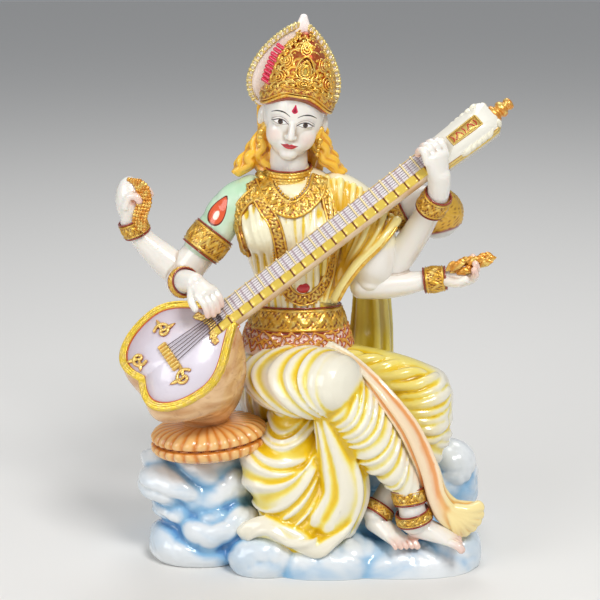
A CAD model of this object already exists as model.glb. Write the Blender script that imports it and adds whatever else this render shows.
"""A seated goddess with a long lute: a painted, glazed casting on a base of clouds and rock.

The pieces follow the frame's solid. Lengths are millimetres here and metres in the meshes.
"""

import math

import bmesh
import bpy
import numpy as np
from bpy.props import FloatProperty, FloatVectorProperty, IntProperty, PointerProperty
from mathutils import Matrix, Vector
from mathutils.bvhtree import BVHTree


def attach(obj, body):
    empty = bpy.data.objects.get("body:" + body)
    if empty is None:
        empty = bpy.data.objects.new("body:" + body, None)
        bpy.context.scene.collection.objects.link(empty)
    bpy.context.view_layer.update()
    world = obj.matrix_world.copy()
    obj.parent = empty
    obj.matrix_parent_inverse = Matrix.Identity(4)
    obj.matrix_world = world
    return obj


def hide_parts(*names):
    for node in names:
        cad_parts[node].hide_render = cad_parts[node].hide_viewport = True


bl_info = {
    "name": "Seated goddess figurine",
    "version": (1, 0, 0),
    "blender": (4, 5, 0),
    "location": "3D View > Sidebar > Figurine",
    "description": "Builds a painted and glazed figurine on its packed solid",
    "category": "Add Mesh",
}

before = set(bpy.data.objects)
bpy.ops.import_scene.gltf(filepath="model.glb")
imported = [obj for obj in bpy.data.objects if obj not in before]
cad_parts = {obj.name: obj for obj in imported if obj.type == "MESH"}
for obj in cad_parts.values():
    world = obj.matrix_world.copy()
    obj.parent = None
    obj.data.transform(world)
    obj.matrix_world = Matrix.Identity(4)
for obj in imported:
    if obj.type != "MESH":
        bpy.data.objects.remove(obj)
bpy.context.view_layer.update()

MM = 0.001
CAMERA_RISE = math.radians(15)
LOOK_FALL = math.tan(CAMERA_RISE)
DEPTH = np.array([0.0, 1.0, 0.0])
UP = np.array([0.0, 0.0, 1.0])
TAU = 2 * math.pi
TINY = 1e-9
# How far a round of smoothing draws a point towards its neighbours, and then back out
DRAW_IN, PUSH_OUT = 0.6, -0.62

# Shapes


class Shape:
    """A closed skin: points in millimetres, faces, and how deep each point lies in a recess (0 to 1)."""

    def __init__(self, points, faces, recess=0.0):
        self.points = np.asarray(points, float)
        self.faces = faces
        self.recess = np.broadcast_to(np.asarray(recess, float), len(self.points))


def merged(shapes):
    """Several skins as one."""
    offset = 0
    faces = []
    for shape in shapes:
        faces += [tuple(i + offset for i in face) for face in shape.faces]
        offset += len(shape.points)
    points = np.concatenate([shape.points for shape in shapes])
    return Shape(points, faces, np.concatenate([shape.recess for shape in shapes]))


def unit(vectors):
    """The same directions, with a length of 1."""
    vectors = np.asarray(vectors, float)
    return vectors / np.maximum(np.linalg.norm(vectors, axis=-1, keepdims=True), TINY)


def rise(value, low, high):
    """0 up to `low`, 1 from `high` and straight between; `high` may be the smaller of the two."""
    return np.clip((value - low) / (high - low), 0, 1)


def smooth_path(stations, count):
    """`count` rows on a smooth curve through the stations."""
    stations = np.asarray(stations, float)
    last = len(stations) - 1
    s = np.linspace(0, last, count)
    i = np.minimum(s.astype(int), last - 1)
    t = (s - i)[:, None]
    a, b = stations[np.maximum(i - 1, 0)], stations[i]
    c, d = stations[i + 1], stations[np.minimum(i + 2, last)]
    return 0.5 * (2 * b + (c - a) * t + (2 * a - 5 * b + 4 * c - d) * t**2 + (3 * b - a - 3 * c + d) * t**3)


def sized(path, half, deeper=1.0):
    """Stations along a path, with the half width `half`: one number, or one for each point."""
    path = np.asarray(path, float)
    return np.hstack([path, np.reshape(half, (-1, 1)) * np.ones((len(path), 1)) * [1, deeper]])


def looped(path):
    """A path that ends on its first point."""
    return np.vstack([path, path[:1]])


def at_height(outline, height=0.0):
    """The points [x, y] of an outline, at a height."""
    return np.c_[outline, np.full(len(outline), height)]


def bow(ends, count):
    """Points on a curve between two ends, drawn out by the two points listed between them."""
    t = np.linspace(0, 1, count)[:, None]
    return np.hstack([(1 - t) ** 3, 3 * (1 - t) ** 2 * t, 3 * (1 - t) * t**2, t**3]) @ np.array(ends, float)


def tube_faces(rows, sides, closed=False):
    """The four-sided faces between rings of points, each ring closed on itself."""
    i = np.arange(rows if closed else rows - 1)[:, None]
    j = np.arange(sides)[None]
    k, up = (j + 1) % sides, (i + 1) % rows
    corners = [i * sides + j, i * sides + k, up * sides + k, up * sides + j]
    return [tuple(face) for face in np.stack(corners, -1).reshape(-1, 4).tolist()]


def skin(rings, start, end, recess=0.0):
    """Rings of points joined up, and closed at each end by a fan around one more point."""
    rows, sides = rings.shape[:2]
    count = rows * sides
    faces = tube_faces(rows, sides)
    for j in range(sides):
        k = (j + 1) % sides
        faces.append((count, k, j))
        faces.append((count + 1, count - sides + j, count - sides + k))
    points = np.concatenate([rings.reshape(-1, 3), [start, end]])
    if np.ndim(recess):
        recess = np.concatenate([np.ravel(recess), [0.5, 0.5]])
    return Shape(points, faces, recess)


# How a limb's end is rounded: the share of its thickness, and how far out along its bulge
CAP = [(0.94, 0.34), (0.77, 0.64), (0.5, 0.87), (0.2, 0.98)]
BULGE = 0.8


def limb(stations, sides=24, rows=40, depth=DEPTH, flat=False, relief=None, slide=None):
    """A limb or drape: ovals along a smooth curve, from [x, y, z, half width, half depth].

    `relief` moves a point out from the axis and `slide` along it. Both take the share of the
    length and the angle around, where -90 degrees is the front.
    """
    ovals = smooth_path(stations, rows)
    centres, wide, deep = ovals[:, :3], ovals[:, 3], ovals[:, 4]
    along = unit(np.gradient(centres, axis=0))
    d = unit(np.asarray(depth, float) - along * (along @ np.asarray(depth, float))[:, None])
    w = np.cross(d, along)
    v = TAU * np.arange(sides)[None] / sides
    t = np.linspace(0, 1, rows)[:, None]
    raised = relief(t, v) if relief else 0.0
    shift = slide(t, v) if slide else 0.0
    raised, shift = np.broadcast_to(raised, (rows, sides)), np.broadcast_to(shift, (rows, sides))

    def ring(i, shrink, ahead):
        return (
            centres[i]
            + along[i] * (ahead + shift[i])[:, None]
            + w[i] * (np.cos(v[0]) * (wide[i] + raised[i]) * shrink)[:, None]
            + d[i] * (np.sin(v[0]) * (deep[i] + raised[i]) * shrink)[:, None]
        )

    rings = [ring(i, 1, 0) for i in range(rows)]
    start, end = centres[0].copy(), centres[-1].copy()
    if not flat:
        bulge = [BULGE * min(wide[i], deep[i]) for i in (0, -1)]
        rings = [ring(0, s, -h * bulge[0]) for s, h in reversed(CAP)] + rings
        rings += [ring(rows - 1, s, h * bulge[1]) for s, h in CAP]
        start -= along[0] * bulge[0]
        end += along[-1] * bulge[1]
    return skin(np.array(rings), start, end)


def lump(centre, half, turn=0.0, power=1.0, around=28, rows=16):
    """An egg or, with a low power, a boulder with flatter sides."""
    lat = np.pi * np.arange(1, rows)[:, None] / rows
    lon = TAU * np.arange(around)[None] / around
    ball = np.broadcast_arrays(np.sin(lat) * np.cos(lon), np.sin(lat) * np.sin(lon), -np.cos(lat))
    ball = np.stack(ball, -1)
    ball = np.sign(ball) * np.abs(ball) ** power * np.array(half)
    c, s = math.cos(turn), math.sin(turn)
    spin = np.array([[c, 0, s], [0, 1, 0], [-s, 0, c]])
    poles = np.array([[0, 0, -half[2]], [0, 0, half[2]]]) @ spin.T + centre
    return skin(ball @ spin.T + np.array(centre), *poles)


def thread(path, radius, sides=6, depth=DEPTH, rows=None):
    """A round tube along a smooth path, with rounded ends."""
    return limb(sized(path, radius), sides, rows or 4 * len(path), depth)


def turned(profile, sides=28):
    """A turned shape around +Z, from [radius, height] rows; both ends close on the axis."""
    v = TAU * np.arange(sides) / sides
    rings = np.array([[(r * math.cos(a), r * math.sin(a), h) for a in v] for r, h in profile])
    return skin(rings, (0, 0, profile[0][1]), (0, 0, profile[-1][1]))


def carried(points, matrix):
    """Points of a frame of their own, given by its matrix, in the object's frame."""
    m = np.array(matrix)
    return points @ m[:3, :3].T + m[:3, 3]


def moved(shape, matrix):
    """A shape of a frame of its own, in the object's frame."""
    return Shape(carried(shape.points, matrix), shape.faces, shape.recess)


def ribbon(path, out, width, thick, relief=None, closed=False, across=13, height=0.8, sunk=2.0):
    """A chased strip along a path, with its face turned towards `out` and its back sunk in.

    `relief` takes how far a point lies along the path and across it (from -0.5 to 0.5), and the
    path's whole length.
    """
    path, out = np.asarray(path, float), np.asarray(out, float)
    if closed:
        along = unit(np.roll(path, -1, 0) - np.roll(path, 1, 0))
    else:
        along = unit(np.gradient(path, axis=0))
    out = unit(out - along * (out * along).sum(1)[:, None])
    side = np.cross(out, along)
    step = np.linalg.norm(np.diff(path, axis=0, append=path[:1] if closed else path[-1:]), axis=1)
    run = np.concatenate([[0], np.cumsum(step)[:-1]])
    w = np.linspace(-0.5, 0.5, across)
    bumps = relief(run[:, None], w[None], run[-1] + step[-1]) if relief else 0.0
    bumps = np.broadcast_to(bumps, (len(path), across))
    lift = thick * (1 - (2 * np.abs(w)) ** 6 * 0.6) + bumps * height
    top = path[:, None] + side[:, None] * (w * width)[None, :, None] + out[:, None] * lift[..., None]
    back = [path + side * (width * e) - out * sunk for e in (0.5, -0.5)]
    rings = np.concatenate([top, np.stack(back, 1)], 1)
    recess = np.clip(1 - bumps * 1.3, 0, 1)
    recess = np.hstack([recess, np.full((len(path), 2), 0.6)])
    if closed:
        return Shape(rings.reshape(-1, 3), tube_faces(*rings.shape[:2], closed=True), recess.ravel())
    return skin(rings, rings[0].mean(0), rings[-1].mean(0), recess)


# Chased patterns, as heights from 0 to 1 over a strip


def ridge(offset, width):
    """1 on a line, and falling to 0 on both sides of it."""
    return np.exp(-((offset / width) ** 2))


def edged(w, inner):
    """A rope along both edges of a strip, around an inner pattern."""
    return np.maximum(ridge(np.abs(w) - 0.42, 0.05), inner * (np.abs(w) < 0.35))


def fit(pitch, total):
    """The pitch nearest to `pitch` that repeats a whole number of times."""
    return total / max(1, round(total / pitch))


def scrollwork(pitch):
    """A vine with leaves, over a row of beads."""

    def relief(run, w, total):
        u = TAU * run / fit(pitch, total)
        vine = ridge(w - 0.2 * np.sin(u), 0.06)
        leaf = ridge(w + 0.2 * np.sin(u), 0.12) * ridge(np.cos(u), 0.55)
        beads = ridge(w + 0.02 * np.sin(3 * u), 0.3) * (0.5 + 0.5 * np.cos(3 * u)) * 0.35
        return edged(w, np.maximum.reduce([vine, leaf, beads]))

    return relief


def woven(pitch):
    """Rows of small leaves and grains between roped edges."""

    def relief(run, w, total):
        u = TAU * run / fit(pitch, total)
        grain = 0.5 + 0.5 * np.sin(3 * u + 2 * np.sin(9 * w)) * np.cos(21 * w + np.sin(u))
        return edged(w, np.maximum(0.9 * grain**2, ridge(w - 0.16 * np.sin(u), 0.1)))

    return relief


def garlanded(pitch):
    """Hanging swags of line work, crossing halfway."""

    def relief(run, w, total):
        u = np.pi * run / fit(pitch, total)
        sway = 0.05 * np.sin(5 * u + 9 * w)
        swags = [ridge(w + low - 0.5 * np.abs(np.sin(u + start)) + sway, 0.055)
                 for start in (0, np.pi / 2) for low in (0.42, 0.1)]
        knots = ridge(w + 0.02 * np.sin(3 * u), 0.4) * ridge(np.sin(2 * u), 0.3) * 0.8
        return np.maximum.reduce([*swags, knots * (0.5 + 0.5 * np.cos(40 * w))])

    return relief


def roped(pitch, strands=1):
    """One or more twisted cords side by side."""

    def relief(run, w, total):
        u = TAU * run / fit(pitch, total)
        across = (w + 0.5) * strands
        round_back = np.sqrt(np.clip(1 - (2 * (across % 1) - 1) ** 2, 0, 1))
        return round_back * (0.75 + 0.25 * np.cos(u + 4 * across))

    return relief


def notched(pitch, share):
    """A plain strip with a groove across it at every fret."""

    def relief(run, w, _):
        groove = ridge((run / pitch) % 1 - 0.5, share)
        return (1 - groove) * np.clip(1.4 - 2 * np.abs(w), 0, 1) ** 0.3

    return relief


# Meshes


def mesh_of(name, shape):
    """A shape as a mesh in metres, with its recesses noted."""
    mesh = bpy.data.meshes.new(name)
    mesh.from_pydata((shape.points * MM).tolist(), [], shape.faces)
    note(mesh, "recess", shape.recess)
    mesh.shade_smooth()
    return mesh


def outward(mesh):
    """Turns every face outwards."""
    work = bmesh.new()
    work.from_mesh(mesh)
    bmesh.ops.recalc_face_normals(work, faces=work.faces)
    work.to_mesh(mesh)
    work.free()


def note(mesh, name, values):
    """Keeps a value for each point of the mesh, for its paint to read."""
    layer = mesh.attributes.get(name) or mesh.attributes.new(name, "FLOAT", "POINT")
    layer.data.foreach_set("value", np.asarray(values, "f"))


def remade(mesh, name, kind, settings, inputs=()):
    """The plain mesh that a modifier makes of a rough one, which is then removed."""
    work = bpy.data.objects.new(name + "_work", mesh)
    bpy.context.scene.collection.objects.link(work)
    modifier = work.modifiers.new(kind.lower(), kind)
    for key, setting in settings.items():
        setattr(modifier, key, setting)
    for identifier, amount in inputs:
        modifier[identifier] = amount
    graph = bpy.context.evaluated_depsgraph_get()
    made = bpy.data.meshes.new_from_object(work.evaluated_get(graph))
    bpy.data.objects.remove(work)
    bpy.data.meshes.remove(mesh)
    made.name = name
    return made


def place(mesh, material, share=1.0):
    """Makes a mesh a piece of the figurine. A lesser `share` keeps that share of its faces."""
    if share < 1:
        mesh = remade(mesh, mesh.name, "DECIMATE", {"ratio": share})
    piece = bpy.data.objects.new(mesh.name, mesh)
    bpy.context.scene.collection.objects.link(piece)
    mesh.materials.clear()
    mesh.materials.append(material)
    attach(piece, "root")
    return piece


def assemble(name, shapes, material, seat=None):
    """Shapes that only touch or run through each other, as one piece, set in the frame `seat`."""
    if seat is not None:
        shapes = [moved(shape, seat) for shape in shapes]
    mesh = mesh_of(name, merged(shapes))
    outward(mesh)
    return place(mesh, material)


def fused(name, shapes, voxel):
    """Shapes melted into one skin, over cells of `voxel` millimetres."""
    rough = mesh_of(name + "_rough", merged(shapes))
    melt = {"mode": "VOXEL", "voxel_size": voxel * MM, "use_smooth_shade": True}
    return remade(rough, name, "REMESH", melt)


def level_underside(mesh):
    """Cuts a mesh off flat on the ground."""
    work = bmesh.new()
    work.from_mesh(mesh)
    everything = work.verts[:] + work.edges[:] + work.faces[:]
    cut = bmesh.ops.bisect_plane(work, geom=everything, plane_co=(0, 0, 0), plane_no=(0, 0, 1),
                                 clear_inner=True)
    rim = [e for e in cut["geom_cut"] if isinstance(e, bmesh.types.BMEdge)]
    bmesh.ops.holes_fill(work, edges=rim)
    work.to_mesh(mesh)
    work.free()


def carved(name, shapes, voxel, spread, reach, rounds=2, level=False):
    """Shapes melted into one skin and smoothed, with their recesses noted as `sink` does."""
    mesh = fused(name, shapes, voxel)
    relax(mesh, rounds)
    if level:
        level_underside(mesh)
    sink(mesh, spread, reach)
    return mesh


def read(items, name, kind, width):
    """One property of a mesh's points, edges or normals, as rows of numbers."""
    flat = np.empty(width * len(items), kind)
    items.foreach_get(name, flat)
    return flat.reshape(-1, width)


def points_of(mesh):
    """The mesh's points in millimetres."""
    return read(mesh.vertices, "co", "f", 3).astype(float) / MM


def normals_of(mesh):
    """Which way the skin faces at each point."""
    return read(mesh.vertex_normals, "vector", "f", 3).astype(float)


def set_points(mesh, points):
    """Moves the mesh's points, given in millimetres."""
    mesh.vertices.foreach_set("co", (points * MM).ravel().astype("f"))
    mesh.update()


def rounds_for(mesh, spread):
    """How many rounds of averaging spread a value over so many millimetres."""
    points = points_of(mesh)
    a, b = read(mesh.edges, "vertices", "i", 2).T
    step = np.linalg.norm(points[a] - points[b], axis=1).mean()
    return max(1, round(4 * (spread / step) ** 2))


def averaged(mesh, values, rounds):
    """Values spread over the mesh: each round goes halfway to the mean of the neighbours."""
    a, b = read(mesh.edges, "vertices", "i", 2).T
    n = len(mesh.vertices)
    degree = np.maximum(np.bincount(a, minlength=n) + np.bincount(b, minlength=n), 1)
    for _ in range(rounds):
        near = [np.bincount(a, column[b], n) + np.bincount(b, column[a], n) for column in values.T]
        values = 0.5 * values + 0.5 * (np.array(near) / degree).T
    return values


def relax(mesh, rounds):
    """Takes the steps of the melting off without shrinking what is broad."""
    points = points_of(mesh)
    for _ in range(rounds):
        for share in (DRAW_IN, PUSH_OUT):
            points = points + 2 * share * (averaged(mesh, points, 1) - points)
    set_points(mesh, points)


def sink(mesh, spread, reach):
    """Notes how deep each point lies below the surface smoothed over `spread` mm; `reach` mm count as 1."""
    points = points_of(mesh)
    below = ((averaged(mesh, points, rounds_for(mesh, spread)) - points) * normals_of(mesh)).sum(1)
    note(mesh, "recess", np.clip(0.5 + 0.5 * below / reach, 0, 1))


def probe_of(mesh):
    """A function that finds the surface of a mesh from the front."""
    tree = BVHTree.FromPolygons([v.co for v in mesh.vertices], [tuple(p.vertices) for p in mesh.polygons])

    def hit(x, z, fall=0.0):
        """Where a line of sight from the front meets the surface, and which way that faces.

        The line passes through [x, 0, z] and falls by `fall` for every unit that it goes back.
        """
        found = tree.ray_cast(Vector((x, -200, z + 200 * fall)) * MM, Vector((0, 1, -fall)).normalized())
        if found[0] is None:
            return (x, 0, z), (0, -1, 0)
        return tuple(found[0] / MM), tuple(found[1])

    return hit


def laid(hit, line, count, lift=0.0, fall=0.0):
    """A path over a surface, `lift` above it, from a few points [x, z], and the way it faces."""
    spots = smooth_path(line, count)
    found = [hit(*spot, fall) for spot in spots]
    path = np.array([f[0] for f in found])
    out = np.array([f[1] for f in found])
    for _ in range(count // 8):
        path[1:-1, 1] = (path[:-2, 1] + path[2:, 1] + 2 * path[1:-1, 1]) / 4
        out[1:-1] = (out[:-2] + out[2:] + 2 * out[1:-1]) / 4
    out = unit(out)
    return path + out * lift, out


# The same forms as the solid, as stations of `limb` and as centres and half sizes of `lump`

BOULDERS = [
    ([0, 22, 42], [62, 32, 46], {}),
    ([-40, 34, 36], [36, 20, 33], {}),
    ([70, 28, 24], [32, 24, 29], {"power": 0.85}),
    ([86, 18, 40], [13, 16, 14], {}),
    ([-57, -12, 32], [28, 28, 34], {"power": 0.85}),
    ([-72, -23, 43], [25, 18, 12], {"turn": 0.12}),
    ([-80, -8, 52], [15, 16, 9], {}),
    ([-50, -34, 22], [23, 15, 13], {"turn": -0.2}),
    ([-68, -16, 26], [22, 22, 8], {"turn": 0.1}),
    ([-61, -20, 8], [30, 26, 14], {"power": 0.85}),
    ([-24, -41, 8], [21, 18, 14], {"power": 0.85}),
    ([10, -38, 4], [36, 22, 15], {"power": 0.85}),
    ([50, -36, 1], [44, 22, 14], {"power": 0.8}),
    ([80, -30, 6], [18, 20, 16], {"power": 0.85}),
    ([20, -10, 8], [68, 26, 24], {}),
    ([6, 22, 6], [68, 28, 26], {"power": 0.85}),
    ([-50, 12, 6], [32, 28, 26], {"power": 0.85}),
]
TORSO = [
    [-6, 8, 110, 31, 25], [-6, 8, 124, 28, 23], [-6, 10, 136, 23.6, 19], [-6, 10, 150, 22.4, 18],
    [-8, 8, 168, 25.8, 20], [-10, 4, 186, 30, 23], [-10, 6, 200, 31, 20], [-10, 8, 209, 24, 15],
    [-11, 8, 216, 12, 11],
]
NECK = [[-11, 8, 206, 11.5, 10.5], [-11, 6, 228, 10.5, 10.5]]
SLEEVE_A = [
    [-30, 8, 203, 11, 13], [-42, 6, 196, 11.2, 12], [-51, 3, 184, 10.7, 11], [-60, 0, 172, 10, 10.5],
]
ELBOW_A = [[-58, 0, 174, 9.5, 10], [-66, -1, 164, 9.5, 9.5], [-69, -4, 158, 8.8, 8.8]]
RAISED_FOREARM = [
    [-68, 0, 157, 9.3, 9.3], [-78, 1, 165, 9, 8.5], [-88, 2, 174, 7.3, 7.5], [-95, 2, 182, 6, 6.4],
    [-98, 1, 190, 6, 6.4],
]
PLAYING_FOREARM = [
    [-69, -4, 156, 8.8, 8.8], [-70, -14, 157, 8.4, 8.4], [-66, -26, 161, 6.4, 6.4],
    [-61, -33, 162, 5.6, 5.6],
]
SLEEVE_B = [
    [14, 10, 204, 12, 15], [26, 8, 195, 13.5, 17], [34, 6, 180, 14.6, 19], [35, 4, 163, 14, 17],
    [34, 3, 154, 9.5, 12],
]
REAR_ARM = [[24, 14, 190, 10, 12], [40, 14, 187, 9.5, 11], [52, 13, 193, 9, 10], [66, 14, 199, 8, 9]]
HOLDING_FOREARM = [
    [42, 8, 156, 8, 10], [50, 5, 165, 8.2, 9], [58, 0, 179, 8, 8.5], [65, -8, 194, 7, 7],
    [70, -16, 206, 6, 6], [70, -22, 219, 6.4, 5.5],
]
OFFERING_FOREARM = [
    [30, 4, 152, 8.4, 11], [43, 2, 152, 8, 9.5], [54, 1, 153, 6.8, 8], [65, 0, 155, 5.4, 6],
    [77, -1, 156.5, 4.8, 5.5],
]
THIGH_A = [[-20, 12, 98, 20, 18], [-14, -10, 102, 25, 18], [-3, -28, 105, 25, 19], [9, -40, 108, 21, 18],
           [15, -45, 109, 18, 16.5]]
SHIN_A = [[14, -38, 104, 16, 16], [22, -41, 96, 15.5, 16], [29, -43, 88, 15.5, 16], [38, -44, 75, 14.5, 15],
          [48, -45, 61, 10.5, 12], [53, -45, 54, 9, 10.5]]
THIGH_B = [[6, 4, 104, 13.6, 15], [28, 0, 102, 14.4, 17], [50, -6, 98, 14.8, 19], [68, -9, 91.5, 15, 19]]
LEG_B = [[62, -9, 92, 20.5, 19], [59, -12, 80, 23.5, 21], [58, -15, 69, 19.5, 19], [57, -19, 58, 15, 15.5],
         [52, -26, 44, 11, 12]]
# Fold lines over the lap, as points [x, z] seen from the camera
LAP_FOLDS = [
    [[16, 111], [24, 112.5], [31, 112]], [[23, 107], [32, 109.5], [41, 110.5]],
    [[31, 103], [41, 106], [51, 109]], [[40, 98.5], [51, 101], [59, 102.5], [65, 102]],
    [[46, 93], [58, 94.5], [67, 98], [72, 101]], [[50, 88], [61, 89], [71, 92.5], [77, 97]],
    [[54, 83], [65, 84.5], [74, 88], [79, 92]],
    [[57, 78.5], [67, 79], [75, 82], [79.5, 87]], [[60, 73.5], [69, 74], [75, 76.5], [78.5, 81]],
    [[62, 68.5], [69, 69], [75, 71.5], [77, 75]], [[63, 63], [69, 63], [74, 64.5]],
]
CURTAIN = [[-8, -16, 93, 13, 18], [-8.5, -18, 85, 15, 18], [-10, -24, 74, 19, 19], [-14, -29, 63, 23.5, 19],
           [-11.5, -32, 54, 24, 19], [-8, -33, 45, 23, 19], [-6, -34, 35, 22, 18]]
BUNDLE = [[8, -41, 96, 6, 9], [13, -42, 80, 9, 10], [18, -43, 63, 13, 11], [19, -43, 46, 15, 12],
          [11, -43, 30, 17, 13]]
SASH = [[12, -20, 123, 2.2, 3], [22, -29, 119, 2.6, 3.4], [33, -41, 111, 3.6, 4.2],
        [43, -48, 100, 4.8, 4.8], [53, -51, 87, 5.5, 5], [60, -51, 74, 5.8, 5], [66, -50, 60, 6, 5],
        [70, -49, 47, 6, 5], [77, -47, 36, 8, 6], [88, -42, 29, 11, 8]]
HEM = [[-35, -46, 24, 5.5, 5.5], [-22, -50, 27, 6.5, 6], [-8, -53, 22, 6.5, 6], [5, -55, 18, 5.5, 5.5],
       [16, -53, 24, 4.5, 4.5], [23, -50, 31, 3, 3]]
SEAT = [[-6, 9, 112, 27, 22], [-6, 10, 104, 31, 25], [-6, 10, 94, 33, 25.5], [-6, 9, 82, 34, 25]]
SHAWL_EDGE = [[49, -3, 190, 2.6, 4], [39, -11, 180, 3.2, 4.5], [28, -12, 168, 3.2, 4.5],
              [20, -11, 156, 3, 4], [15, -9, 147, 2.6, 3.5]]
BACK_CLOTH = [[30, 22, 168, 8, 5], [36, 27, 146, 10, 6], [37, 29, 124, 12, 7], [36, 29, 100, 14, 8]]
LOCKS = [
    [[-18, 10, 236, 6, 9], [-22, 10, 224, 7, 9], [-24, 8, 214, 6, 8]],
    [[-23, 6, 242, 4, 8], [-27, 8, 230, 6, 9], [-32, 9, 222, 7.5, 9], [-39, 9, 215, 4.5, 6]],
    [[6, 6, 240, 4, 8], [8, 8, 229, 5.5, 9], [12, 9, 221, 5.8, 8], [18, 9, 215, 4, 6]],
]
BACK_HAIR = [[-9, 16, 250, 19, 10], [-9, 20, 232, 19, 10], [-9, 24, 212, 17, 9], [-9, 27, 190, 14, 7],
             [-9, 27, 170, 9, 5]]
DOME = [[0.4, 1, 10, 18.6, 19], [1, 1, 18, 17.6, 19.5], [1.2, 1.5, 26, 16.2, 19], [1, 2, 34, 13.6, 15.5],
        [0.5, 3, 41, 9.2, 10.5], [-0.5, 3, 46, 4, 4.5]]
FINIAL = [[0, -3], [3, -3], [4.6, 0], [4.4, 2], [3, 3.5], [4, 5], [3.8, 7], [2.4, 8.5], [3, 10],
          [2.6, 12], [0, 13]]

HEAD = Matrix.Translation((-8.5, 4, 244)) @ Matrix.Rotation(math.radians(9), 4, "Y")
HEAD = HEAD @ Matrix.Rotation(math.radians(6), 4, "X")

NOTCH, NUT = np.array([-91.0, -46.0, 111.5]), np.array([71.0, -16.0, 231.5])
NECK_END = float(np.linalg.norm(NUT - NOTCH))
BOARD_LENGTH, BOARD_HALF, NECK_HALF, NECK_DEPTH = 60.0, 31.0, 7.75, 11.0
BOWL_FOOT = np.array([-56.0, -20.0, 77.0])


def lute_frame():
    """x from the bowl to the pegs, y across, z out of the soundboard."""
    along = unit(NUT - NOTCH)
    facing = np.array([0, -0.966, 0.259])
    facing = unit(facing - along * (facing @ along))
    facing = np.array(Matrix.Rotation(math.radians(-30), 3, Vector(along)) @ Vector(facing))
    across = np.cross(facing, along)
    m = np.eye(4)
    m[:3, 0], m[:3, 1], m[:3, 2], m[:3, 3] = along, across, facing, NOTCH
    return m


LUTE = lute_frame()


# Drapery


def creased(phase):
    """Broad crests and narrow valleys, from 1 down to -1."""
    return 2 * np.abs(np.cos(phase / 2)) ** 0.75 - 1


def ridged(phase):
    """Rounded crests and broad valleys, unevenly spaced, with a lesser fold now and then."""
    phase = phase + 0.9 * np.sin(0.37 * phase + 0.6)
    height = 0.8 + 0.25 * np.sin(0.53 * phase + 2)
    return height * (0.9 - 1.9 * np.abs(np.sin(phase / 2)) ** 1.3) + 0.26 * np.cos(1.63 * phase + 1.1)


def crests(count, height, strength=lambda t, v: 1.0, wander=0.7):
    """Folds around a limb, as its relief: how many, how high and how far they wander."""

    def relief(t, v):
        return height * ridged(TAU * count * t + wander * np.sin(2 * v + 7 * t)) * strength(t, v)

    return relief


def fade(t):
    """0 at both ends of a limb and 1 along its middle."""
    return np.clip(np.minimum(6 * t, 6 * (1 - t)), 0, 1)


def hang(sag, skew):
    """Folds that sag in front and rise towards the right."""
    return lambda t, v: sag * np.maximum(0, -np.sin(v)) ** 1.5 + skew * np.cos(v)


UNDER_KNEE = math.radians(235)


def pinch(v):
    """1 under the knee, where the folds meet, and 0 opposite."""
    return np.maximum(0, np.cos(v - UNDER_KNEE)) ** 2


def gathered(under, lines, size):
    """Folds laid over a shape, one along each line of [x, z] points."""
    mesh = mesh_of("gather", under)
    hit = probe_of(mesh)
    bpy.data.meshes.remove(mesh)
    folds = []
    for k, line in enumerate(lines):
        path, _ = laid(hit, line, 24, lift=-0.75, fall=LOOK_FALL)
        swell = size * (0.3 + 0.75 * np.sin(np.linspace(0.3, 2.8, 24))) * (1 + 0.25 * math.sin(2.3 * k))
        folds.append(limb(sized(path, swell), 14, 50))
    return folds


def drapery_shapes(fold):
    """Both legs, the curtain and bundle between them, the hem and the seat; `fold` scales their folds."""
    knee = lambda t, v: fade(t) * (0.7 + 0.3 * pinch(v - 1)) * (1 - 0.5 * np.clip(6 * t - 4.8, 0, 1))
    even = lambda t, v: fade(t)
    behind = lambda t, v: fade(t) * np.clip(0.9 + np.sin(v) - 0.3 * np.cos(v), 0, 1)
    lap = merged([limb(THIGH_B, 110, 190),
                  limb(LEG_B, 120, 190, relief=crests(7, 0.6 * fold, behind, 1.1),
                       slide=lambda t, v: hang(2, -8)(t, v) * np.clip(3 * t, 0, 1))])
    return [
        limb(THIGH_A, 110, 190, UP, relief=crests(8, 0.95 * fold, knee, 0.5),
             slide=lambda t, v: 30 * (1 - t) * pinch(v)),
        limb(SHIN_A, 90, 190, relief=crests(14, 0.62 * fold, even, 1.2), slide=hang(8, 4)),
        lap, *gathered(lap, LAP_FOLDS, 2.8),
        limb(CURTAIN, 110, 190, relief=crests(11, 0.8 * fold, wander=1.2),
             slide=lambda t, v: hang(16, 10)(t, v) * np.clip(0.5 + 3 * t, 0, 1)),
        limb(BUNDLE, 130, 80, relief=lambda t, v: 0.5 * fold * ridged(9 * v + 2.5 * t + np.sin(3 * v))),
        limb(HEM, 60, 150, relief=lambda t, v: 0.62 * fold * ridged(3 * v + 13 * t + 2 * np.sin(11 * t))),
        limb(SEAT, 150, 50, relief=lambda t, v: 0.5 * fold * ridged(15 * v + 2 * np.sin(4 * v + 3 * t))),
        lump([-2, -30, 22], [28, 22, 18]),
    ]


# Hands and feet

FINGER_REACH = [0.52, 0.56, 0.53, 0.44]
FINGER_BONES = [0.42, 0.32, 0.26]
HANDS = [
    {"wrist": [-99, 1, 188], "forward": [0.04, -0.1, 1], "palm": [1, -0.3, 0], "length": 29,
     "curl": [0.45, 0.9, 1.1], "thumb": 1},
    {"wrist": [-61, -32, 162], "forward": [0.62, -0.62, -0.42], "palm": [-0.1, 0.45, -0.85], "length": 24,
     "curl": [0.3, 0.5, 0.3], "thumb": -1},
    {"wrist": [70, -22, 218], "forward": [-0.16, -0.2, 0.97], "palm": [-0.55, 0.8, 0], "length": 28,
     "curl": [0.4, 1.2, 0.9], "thumb": -1},
    {"wrist": [75, -1, 157], "forward": [1, -0.2, 0.14], "palm": [-0.15, -0.5, 0.85], "length": 28,
     "curl": [0.35, 0.6, 0.7], "thumb": 1},
]


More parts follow.
